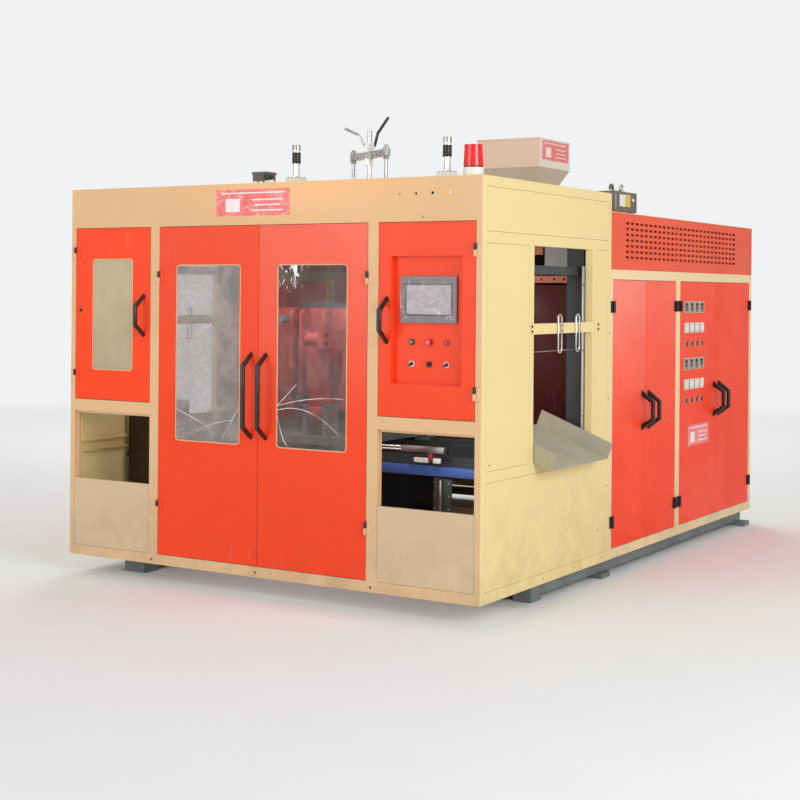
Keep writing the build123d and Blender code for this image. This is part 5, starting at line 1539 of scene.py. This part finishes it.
class MACHINE_OT_small_holes(bpy.types.Operator):
    """Mark the small drilled holes, the lock and the plug in the sheets"""

    bl_idname = "machine.small_holes"
    bl_label = "Small holes"

    def spot(self, across, height, radius, finish, out=0.0004):
        """A shallow dark disc on the front face."""
        disc = drum(
            "hole", (across, face_y - out / 2, height), radius, out, "Y", 20,
        )
        return coat(disc, finish)

    def execute(self, context):
        marks = [
            (0.8345, 2.023, 0.0045, "brown grey paint"),
            (0.9255, 2.023, 0.006, "hole shade"),
            (1.0165, 2.024, 0.0075, "hole shade"),
            (1.1125, 2.023, 0.005, "white plastic"),
            (0.9645, 1.913, 0.004, "brown grey paint"),
            (-0.6975, 0.124, 0.006, "hole shade"),
            (-0.0105, 0.124, 0.006, "hole shade"),
            (0.6835, 0.124, 0.006, "hole shade"),
        ]
        made = joined("front_holes", [self.spot(*mark) for mark in marks])
        mount(made, "cabinet")
        side_marks = (
            (-1.2225, 0.126), (-0.8665, 0.126), (-0.4875, 0.126), (-0.4445, 0.509), (-0.5615, 0.283), (-1.8025, 0.747),
            (-0.428, 1.34), (-0.428, 0.98),
        )
        discs = []
        for along, height in side_marks:
            discs.append(coat(drum("hole", (side_x + 0.0002, along, height), 0.0045, 0.0004, "X", 16), "hole shade"))
        right = joined("right_holes", discs)
        left = other_side(right, "left_holes")
        mount(joined("side_holes", [right, left]), "cabinet")
        lock = drum("door_lock", (-1.2125, face_y - 0.002, 1.442), 0.0095, 0.004, "Y", 28, 0.001)
        step_in(lock, lambda middle, normal: normal.y < -0.95, 0.003, -0.002)
        coat(lock, "black plastic")
        mount(lock, "front_left_door")
        return {"FINISHED"}


class MACHINE_OT_blow_heads(bpy.types.Operator):
    """Dress the blow units over the roof"""

    bl_idname = "machine.blow_heads"
    bl_label = "Blow unit heads"

    def execute(self, context):
        low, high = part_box("blow_cylinders")
        for side in ("left", "right"):
            rod_low, rod_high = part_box(f"{side}_blow_rod")
            x = (rod_low.x + rod_high.x) / 2
            y = (rod_low.y + rod_high.y) / 2
            top = rod_high.z
            grip = drum(f"{side} collar", (x, y, top - 0.078), 0.0252, 0.066, sides=36, rounding=0.003)
            ring = drum(f"{side} ring", (x, y, top - 0.041), 0.0262, 0.008, sides=36, rounding=0.001)
            cap = drum(f"{side} cap", (x, y, top - 0.016), 0.0247, 0.03, sides=36, rounding=0.004)
            parts = [coat(grip, "black plastic"), coat(ring, "white plastic"), coat(cap, "yoke steel")]
            made = joined(f"{side}_rod_head", parts)
            mount(made, f"{side}_blow_rod")
            foot = block(
                f"{side} clamp foot", (x - 0.047, y - 0.047, roof_z), (x + 0.047, y + 0.047, roof_z + 0.03), 0.004,
            )
            gland = drum(f"{side} gland", (x, y, high.z + 0.005), 0.033, 0.01, sides=36, rounding=0.002)
            step_in(gland, lambda middle, normal: normal.z > 0.95, 0.0042, -0.009)
            bolts = []
            for dx in (-0.033, 0.033):
                for dy in (-0.033, 0.033):
                    bolts.append(
                        coat(drum("bolt", (x + dx, y + dy, high.z + 0.003), 0.006, 0.007, sides=6), "dull steel")
                    )
            fittings = [coat(foot, "white paint"), coat(gland, "bright steel"), *bolts]
            mount(joined(f"{side}_blow_fittings", fittings), "cabinet")
        return {"FINISHED"}


class MACHINE_OT_lift_fittings(bpy.types.Operator):
    """Nuts, washers and thread of the core adjuster"""

    bl_idname = "machine.lift_fittings"
    bl_label = "Lift fittings"

    def execute(self, context):
        low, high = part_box("lift_frame")
        screw_low, screw_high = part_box("core_screw")
        x = (screw_low.x + screw_high.x) / 2
        y = (screw_low.y + screw_high.y) / 2
        yoke_top = high.z - 0.022
        yoke_bottom = yoke_top - 0.038
        spans = [(x + 0.1732, y - 0.1), (x - 0.1732, y + 0.1)]
        parts = []
        for px, py in spans:
            parts.append(drum("post nut", (px, py, yoke_top + 0.008), 0.0175, 0.016, sides=6, rounding=0.002))
            parts.append(drum("post washer", (px, py, yoke_top + 0.001), 0.0215, 0.003, sides=28, rounding=0.0006))
            parts.append(drum("under nut", (px, py, yoke_bottom - 0.008), 0.0175, 0.014, sides=6, rounding=0.002))
            parts.append(drum("post cap", (px, py, yoke_top + 0.021), 0.0115, 0.01, sides=24, rounding=0.004, steps=3))
            parts.append(drum("roof collar", (px, py, roof_z + 0.006), 0.022, 0.012, sides=32, rounding=0.003))
        for part in parts:
            coat(part, "yoke steel")
        mount(joined("yoke_nuts", parts), "cabinet")
        nut = []
        ways = {
            "black plastic": ((0.028, 0.035), (0.046, 0.107), (0.104, 0.195), 0.0082),
            "bright steel": ((-0.03, 0.04), (-0.062, 0.095), (-0.14, 0.131), 0.0072),
        }
        for finish, (*points, radius) in ways.items():
            spots = [
                Vector((x + out * math.cos(0.55), y + out * math.sin(0.55), yoke_top + up)) for out, up in points
            ]
            for first, second in zip(spots, spots[1:]):
                nut.append(coat(rod_between("lever", first, second, radius), finish))
            tip = spots[-1] + (spots[-1] - spots[-2]).normalized() * 0.004
            nut.append(coat(rod_between("lever tip", spots[-1], tip, radius * 0.9), "white plastic"))
        mount(joined("lever_grips", nut), "hand_nut")
        threads = []
        for count in range(9):
            height = screw_high.z - 0.006 - count * 0.0045
            threads.append(drum("thread", (x, y, height), 0.0138, 0.0024, sides=24, rounding=0.0007))
        for part in threads:
            coat(part, "bright steel")
        mount(joined("screw_thread", threads), "core_screw")
        return {"FINISHED"}


class MACHINE_OT_roof_boxes(bpy.types.Operator):
    """Glands, plates and terminals of the junction box and the transformer"""

    bl_idname = "machine.roof_boxes"
    bl_label = "Roof boxes"

    def execute(self, context):
        low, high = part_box("junction_box")
        parts = []
        for x in (low.x + 0.028, low.x + 0.068):
            gland = drum("gland", (x, low.y - 0.008, high.z - 0.068), 0.0185, 0.016, "Y", 28, 0.003)
            step_in(gland, lambda middle, normal: normal.y < -0.95, 0.006, -0.004)
            parts.append(coat(gland, "white plastic"))
        lid = block("lid", (low.x - 0.003, low.y - 0.003, high.z - 0.012), (high.x + 0.003, high.y + 0.003, high.z + 0.003),
                    0.003)
        parts.append(coat(lid, "brown grey paint"))
        clip = block("clip", (high.x - 0.004, low.y - 0.02, high.z - 0.04), (high.x + 0.03, low.y + 0.03, high.z - 0.015),
                     0.004)
        parts.append(coat(clip, "black plastic"))
        plug = drum("plug", (high.x + 0.02, low.y + 0.002, high.z - 0.06), 0.016, 0.05, "X", 24, 0.003)
        parts.append(coat(plug, "white plastic"))
        mount(joined("junction_fittings", parts), "cabinet")
        low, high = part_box("transformer")
        top = rear_roof_z + 0.142
        face = high.x + 0.0004
        parts = [
            coat(plate("rating plate", (face, 0.0937, top - 0.053), 0.08, 0.07, 0.003, "right", 0.004, 0.0008),
                 "white plastic"),
            coat(plate("warning plate", (face, 0.1726, top - 0.051), 0.074, 0.072, 0.003, "right", 0.004, 0.0008),
                 "yellow plastic"),
            coat(plate("end plate", ((low.x + high.x) / 2, low.y, top - 0.058), 0.1, 0.08, 0.003, "front", 0.004,
                       0.0008), "grey box paint"),
            coat(drum("side knob", (face + 0.006, 0.238, top - 0.045), 0.01, 0.012, "X", 24, 0.003), "white plastic"),
            coat(plate("front edge", (face, low.y + 0.007, top - 0.058), 0.012, 0.112, 0.002, "right"), "dull steel"),
            coat(plate("back edge", (face, high.y - 0.007, top - 0.058), 0.012, 0.112, 0.002, "right"), "dull steel"),
        ]
        clear_selection()
        bpy.ops.mesh.primitive_torus_add(
            major_radius=0.019, minor_radius=0.0062, major_segments=32, minor_segments=12,
            location=(high.x - 0.03, 0.15, top + 0.022), rotation=(0, math.pi / 2, 0),
        )
        eye = bpy.context.object
        settle(eye)
        parts.append(coat(eye, "bright steel"))
        parts.append(coat(drum("eye foot", (high.x - 0.03, 0.15, top + 0.002), 0.014, 0.006, sides=24), "bright steel"))
        for along in (0.04, 0.11, 0.18, 0.25):
            post = drum("terminal", (high.x - 0.05, along, top + 0.006), 0.007, 0.012, sides=20, rounding=0.002)
            parts.append(coat(post, "bright steel"))
        mount(joined("transformer_fittings", parts), "cabinet")
        return {"FINISHED"}


class MACHINE_OT_hopper_rim(bpy.types.Operator):
    """Lay the hopper's rim"""

    bl_idname = "machine.hopper_rim"
    bl_label = "Hopper rim"

    def execute(self, context):
        low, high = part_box("hopper")
        middle = ((low.x + high.x) / 2, (low.y + high.y) / 2, high.z - 0.012)
        rim = plate(
            "hopper_rim", middle, high.x - low.x + 0.006, high.y - low.y + 0.006, 0.013, "up", hole=0.005,
            rounding=0.001,
        )
        coat(rim, "hopper paint")
        mount(rim, "cabinet")
        return {"FINISHED"}


class MACHINE_OT_inner_fittings(bpy.types.Operator):
    """The plates, blocks and bands that show inside through the windows and openings"""

    bl_idname = "machine.inner_fittings"
    bl_label = "Inner fittings"

    def outlet_side(self):
        """A dark red sheet, painted shade where the red castings lie in shadow, drilled strip, grey cover and conduit
        beyond the right outlet.
        """
        parts = [
            coat(block("red_shade_sheet", (0.55, -0.374, 0.8), (1.005, -0.37, 1.6), 0.001), "red sheet in painted shade"),
            coat(block("strip", (0.62, -0.382, 1.612), (1.02, -0.377, 1.652), 0.001), "pink plate paint"),
            coat(block("cover", (0.87, -0.382, 1.7), (1.13, -0.378, 1.9), 0.002), "grey box paint"),
            coat(block("duct end", (0.6, -0.39, 1.77), (0.86, -0.376, 1.85), 0.003), "pink plate paint"),
            coat(drum("conduit", (1.224, -0.632, 1.21), 0.009, 0.98, sides=20, rounding=0.002), "white plastic"),
        ]
        for along in (0.85, 0.93, 0.99):
            parts.append(coat(drum("strip hole", (along, -0.3828, 1.632), 0.007, 0.0012, "Y", 18), "hole shade"))
        for height in (0.9, 1.25, 1.6):
            parts.append(
                coat(drum("conduit clip", (1.224, -0.632, height), 0.0105, 0.012, sides=20, rounding=0.002),
                     "grey box paint")
            )
        mount(joined("outlet_fittings", parts), "cabinet")

    def table_bay(self):
        """Blue table edge, slide rods and a guide in the right lower bay."""
        front = -1.5
        parts = [
            coat(block("table edge", (0.3, -1.472, 0.629), (1.236, -1.442, 0.676), 0.003), "blue machine paint"),
            coat(rod_between("upper slide rod", (0.3, front, 0.771), (0.72, front, 0.771), 0.0055), "bright steel"),
            coat(rod_between("lower slide rod", (0.3, front, 0.7565), (0.72, front, 0.7565), 0.0055), "bright steel"),
            coat(block("slide block", (0.62, front - 0.012, 0.748), (0.872, front + 0.012, 0.78), 0.003), "dull steel"),
            coat(block("end stop", (0.872, front - 0.01, 0.746), (0.888, front + 0.01, 0.776), 0.003), "black plastic"),
            coat(block("bracket", (0.779, front - 0.008, 0.71), (0.8, front + 0.008, 0.748), 0.002), "red casting"),
            coat(drum("guide rod", (0.849, front, 0.54), 0.0075, 0.15, sides=24, rounding=0.002), "bright steel"),
            coat(block("guide plate", (0.8, front + 0.012, 0.45), (0.905, front + 0.02, 0.62), 0.003), "portal paint"),
        ]
        for low, high in ((0.697, 0.757), (0.757, 0.782), (0.808, 0.853)):
            parts.append(
                coat(block("connector", (low, front - 0.012, 0.697), (high - 0.004, front + 0.01, 0.722), 0.004),
                     "white plastic")
            )
        for across in (0.812, 0.893):
            for height in (0.47, 0.535, 0.6):
                parts.append(coat(drum("screw", (across, front + 0.009, height), 0.006, 0.008, "Y", 6), "dull steel"))
        mount(joined("table_fittings", parts), "cabinet")

    def left_bay(self):
        """Dark brown sheet with its folded edge in the left lower bay, painted shade where the bay lies in shadow."""
        parts = [
            block("bay sheet", (-1.24, -1.462, 0.42), (-0.8, -1.458, 0.94), 0.001),
            block("bay fold", (-0.806, -1.5, 0.42), (-0.8, -1.462, 0.94), 0.001),
            block("bay rail", (-1.24, -1.48, 0.6), (-0.81, -1.462, 0.625), 0.002),
        ]
        sheet = joined("left_bay_shade_sheet", parts)
        coat(sheet, "bay painted shade")
        mount(sheet, "cabinet")

    def execute(self, context):
        self.left_bay()
        self.outlet_side()
        self.table_bay()
        bar = rod_between("hook_rod", (1.272, -1.33, 1.262), (1.272, -0.862, 1.262), 0.0022, 12)
        both = joined("hook_rods", [bar, other_side(bar, "left_hook_rod")])
        coat(both, "dull steel")
        mount(both, "cabinet")
        return {"FINISHED"}


class MACHINE_OT_stage(bpy.types.Operator):
    """Lay the floor and set the lamps and the camera"""

    bl_idname = "machine.stage"
    bl_label = "Stage"

    def floor(self, colour):
        """A pale floor that fades into the backdrop."""
        clear_selection()
        bpy.ops.mesh.primitive_circle_add(vertices=96, radius=60, fill_type="NGON", location=(0, 0, 0))
        ground = bpy.context.object
        ground.name = "floor"
        tree, shader = surface("floor paper")
        output = next(made for made in tree.nodes if made.bl_idname == "ShaderNodeOutputMaterial")
        grain = noise(tree, 3.0, 4.0, 0.5)
        tree.links.new(
            mixed(tree, spread(tree, grain, 0.3, 0.7), opaque(colour), opaque([part * 0.985 for part in colour])),
            shader.inputs["Base Color"],
        )
        shader.inputs["Roughness"].default_value = 0.85
        shader.inputs["Specular IOR Level"].default_value = 0.1
        glow = wire(tree, "ShaderNodeEmission", {"Color": opaque(colour), "Strength": 1.0})
        far = wire(tree, "ShaderNodeVectorMath", {0: object_place(tree)}, operation="LENGTH").outputs["Value"]
        fade = spread(tree, far, 5.0, 13.0)
        seen = wire(tree, "ShaderNodeLightPath").outputs["Is Camera Ray"]
        blend = wire(tree, "ShaderNodeMixShader", {0: sums(tree, "MULTIPLY", fade, seen)})
        tree.links.new(shader.outputs[0], blend.inputs[1])
        tree.links.new(glow.outputs[0], blend.inputs[2])
        tree.links.new(blend.outputs[0], output.inputs["Surface"])
        ground.data.materials.append(bpy.data.materials["floor paper"])

    def sky(self, colour, strength):
        """Even light, with the backdrop colour where the camera or a reflection looks past the machine."""
        world = bpy.data.worlds.new("studio")
        bpy.context.scene.world = world
        world.use_nodes = True
        tree = world.node_tree
        tree.nodes.clear()
        seen = wire(tree, "ShaderNodeLightPath")
        direct = sums(tree, "MAXIMUM", seen.outputs["Is Camera Ray"], seen.outputs["Is Transmission Ray"])
        even = wire(tree, "ShaderNodeBackground", {"Color": (1.0, 0.99, 0.97, 1), "Strength": strength})
        backdrop = wire(tree, "ShaderNodeBackground", {"Color": opaque(colour), "Strength": 1.0})
        blend = wire(tree, "ShaderNodeMixShader", {0: direct})
        tree.links.new(even.outputs[0], blend.inputs[1])
        tree.links.new(backdrop.outputs[0], blend.inputs[2])
        output = tree.nodes.new("ShaderNodeOutputWorld")
        tree.links.new(blend.outputs[0], output.inputs["Surface"])

    def lamp(self, name, place, aim, size, power):
        """A soft square lamp that looks at a point."""
        clear_selection()
        way = Vector(aim) - Vector(place)
        bpy.ops.object.light_add(type="AREA", location=place, rotation=way.to_track_quat("-Z", "Y").to_euler())
        made = bpy.context.object
        made.name = name
        made.data.shape = "SQUARE"
        made.data.size = size
        made.data.energy = power
        return made

    def execute(self, context):
        lamps = settings().stage_lamps
        self.floor(lamps.floor)
        self.sky(lamps.floor, lamps.sky)
        self.lamp("front lamp", (-3.0, -11.0, 3.0), (0.0, -1.8, 1.1), 5.0, lamps.key)
        self.lamp("side lamp", (8.4, -4.3, 3.6), (1.3, -0.8, 1.1), 4.0, lamps.side)
        self.lamp("rear lamp", (-5.0, 7.0, 5.0), (0.0, 1.0, 1.2), 4.0, lamps.side * 0.8)
        self.lamp("mould lamp", (0.25, -1.66, 1.8), (0.1, -1.2, 1.05), 0.3, 4.5)
        self.lamp("shuttle lamp", (-0.4, -1.66, 1.8), (-0.45, -1.2, 1.05), 0.3, 2.6)
        self.lamp("outlet lamp", (1.1, -1.3, 1.74), (0.85, -0.5, 1.2), 0.25, 1.7)
        self.lamp("bay lamp", (0.98, -1.74, 0.93), (0.9, -1.45, 0.66), 0.12, 0.8)
        clear_selection()
        bpy.ops.object.camera_add(location=(4.592, -8.0165, 1.5542))
        camera = bpy.context.object
        camera.name = "photo camera"
        camera.rotation_mode = "XYZ"
        camera.rotation_euler = (math.pi / 2, 0.0, math.radians(31.48))
        camera.data.lens = 67.63
        camera.data.shift_y = -0.135
        camera.data.clip_end = 200
        turn = camera.rotation_euler.to_quaternion()
        roll = Vector((0, 0, 1))
        camera.rotation_mode = "QUATERNION"
        camera.rotation_quaternion = turn @ Quaternion(roll, 0.008)
        context.scene.camera = camera
        context.scene.view_settings.view_transform = "Standard"
        return {"FINISHED"}


operators = (
    MACHINE_OT_mix_finishes,
    MACHINE_OT_paint_cabinet,
    MACHINE_OT_bow_handles,
    MACHINE_OT_barrel_hinges,
    MACHINE_OT_window_highlight_beads,
    MACHINE_OT_window_films,
    MACHINE_OT_label_fields,
    MACHINE_OT_touch_screen,
    MACHINE_OT_control_buttons,
    MACHINE_OT_zone_faces,
    MACHINE_OT_vent_panels,
    MACHINE_OT_beacon,
    MACHINE_OT_rod_hooks,
    MACHINE_OT_small_holes,
    MACHINE_OT_blow_heads,
    MACHINE_OT_lift_fittings,
    MACHINE_OT_roof_boxes,
    MACHINE_OT_hopper_rim,
    MACHINE_OT_inner_fittings,
    MACHINE_OT_stage,
)


class MACHINE_PT_looks(bpy.types.Panel):
    """The machine's looks, one button for each group of pieces"""

    bl_idname = "MACHINE_PT_looks"
    bl_label = "Machine looks"
    bl_space_type = "VIEW_3D"
    bl_region_type = "UI"
    bl_category = "Machine"

    def draw(self, context):
        for operator in operators:
            self.layout.operator(operator.bl_idname)


class MachineLooks(bpy.types.PropertyGroup):
    """All the values of the machine's looks."""

    cabinet_paints: bpy.props.PointerProperty(type=CabinetPaints, name="Paints", description="Cabinet colours")
    handle_sizes: bpy.props.PointerProperty(type=HandleSizes, name="Handles", description="Handle sizes")
    vent_sizes: bpy.props.PointerProperty(type=VentSizes, name="Vents", description="Vent slots")
    label_colours: bpy.props.PointerProperty(type=LabelColours, name="Labels", description="Label colours")
    stage_lamps: bpy.props.PointerProperty(type=StageLamps, name="Lamps", description="Light of the stage")


classes = (
    CabinetPaints, HandleSizes, VentSizes, LabelColours, StageLamps, MachineLooks, *operators, MACHINE_PT_looks,
)


def register():
    """Make the operators, values and panel known."""
    for known in classes:
        bpy.utils.register_class(known)
    bpy.types.Scene.machine_looks = bpy.props.PointerProperty(type=MachineLooks)


def unregister():
    """Take them away again."""
    del bpy.types.Scene.machine_looks
    for known in reversed(classes):
        bpy.utils.unregister_class(known)


def main():
    """Dress the machine."""
    register()
    for operator in operators:
        group, name = operator.bl_idname.split(".")
        getattr(getattr(bpy.ops, group), name)()
    clear_selection()


if __name__ == "__main__":
    main()
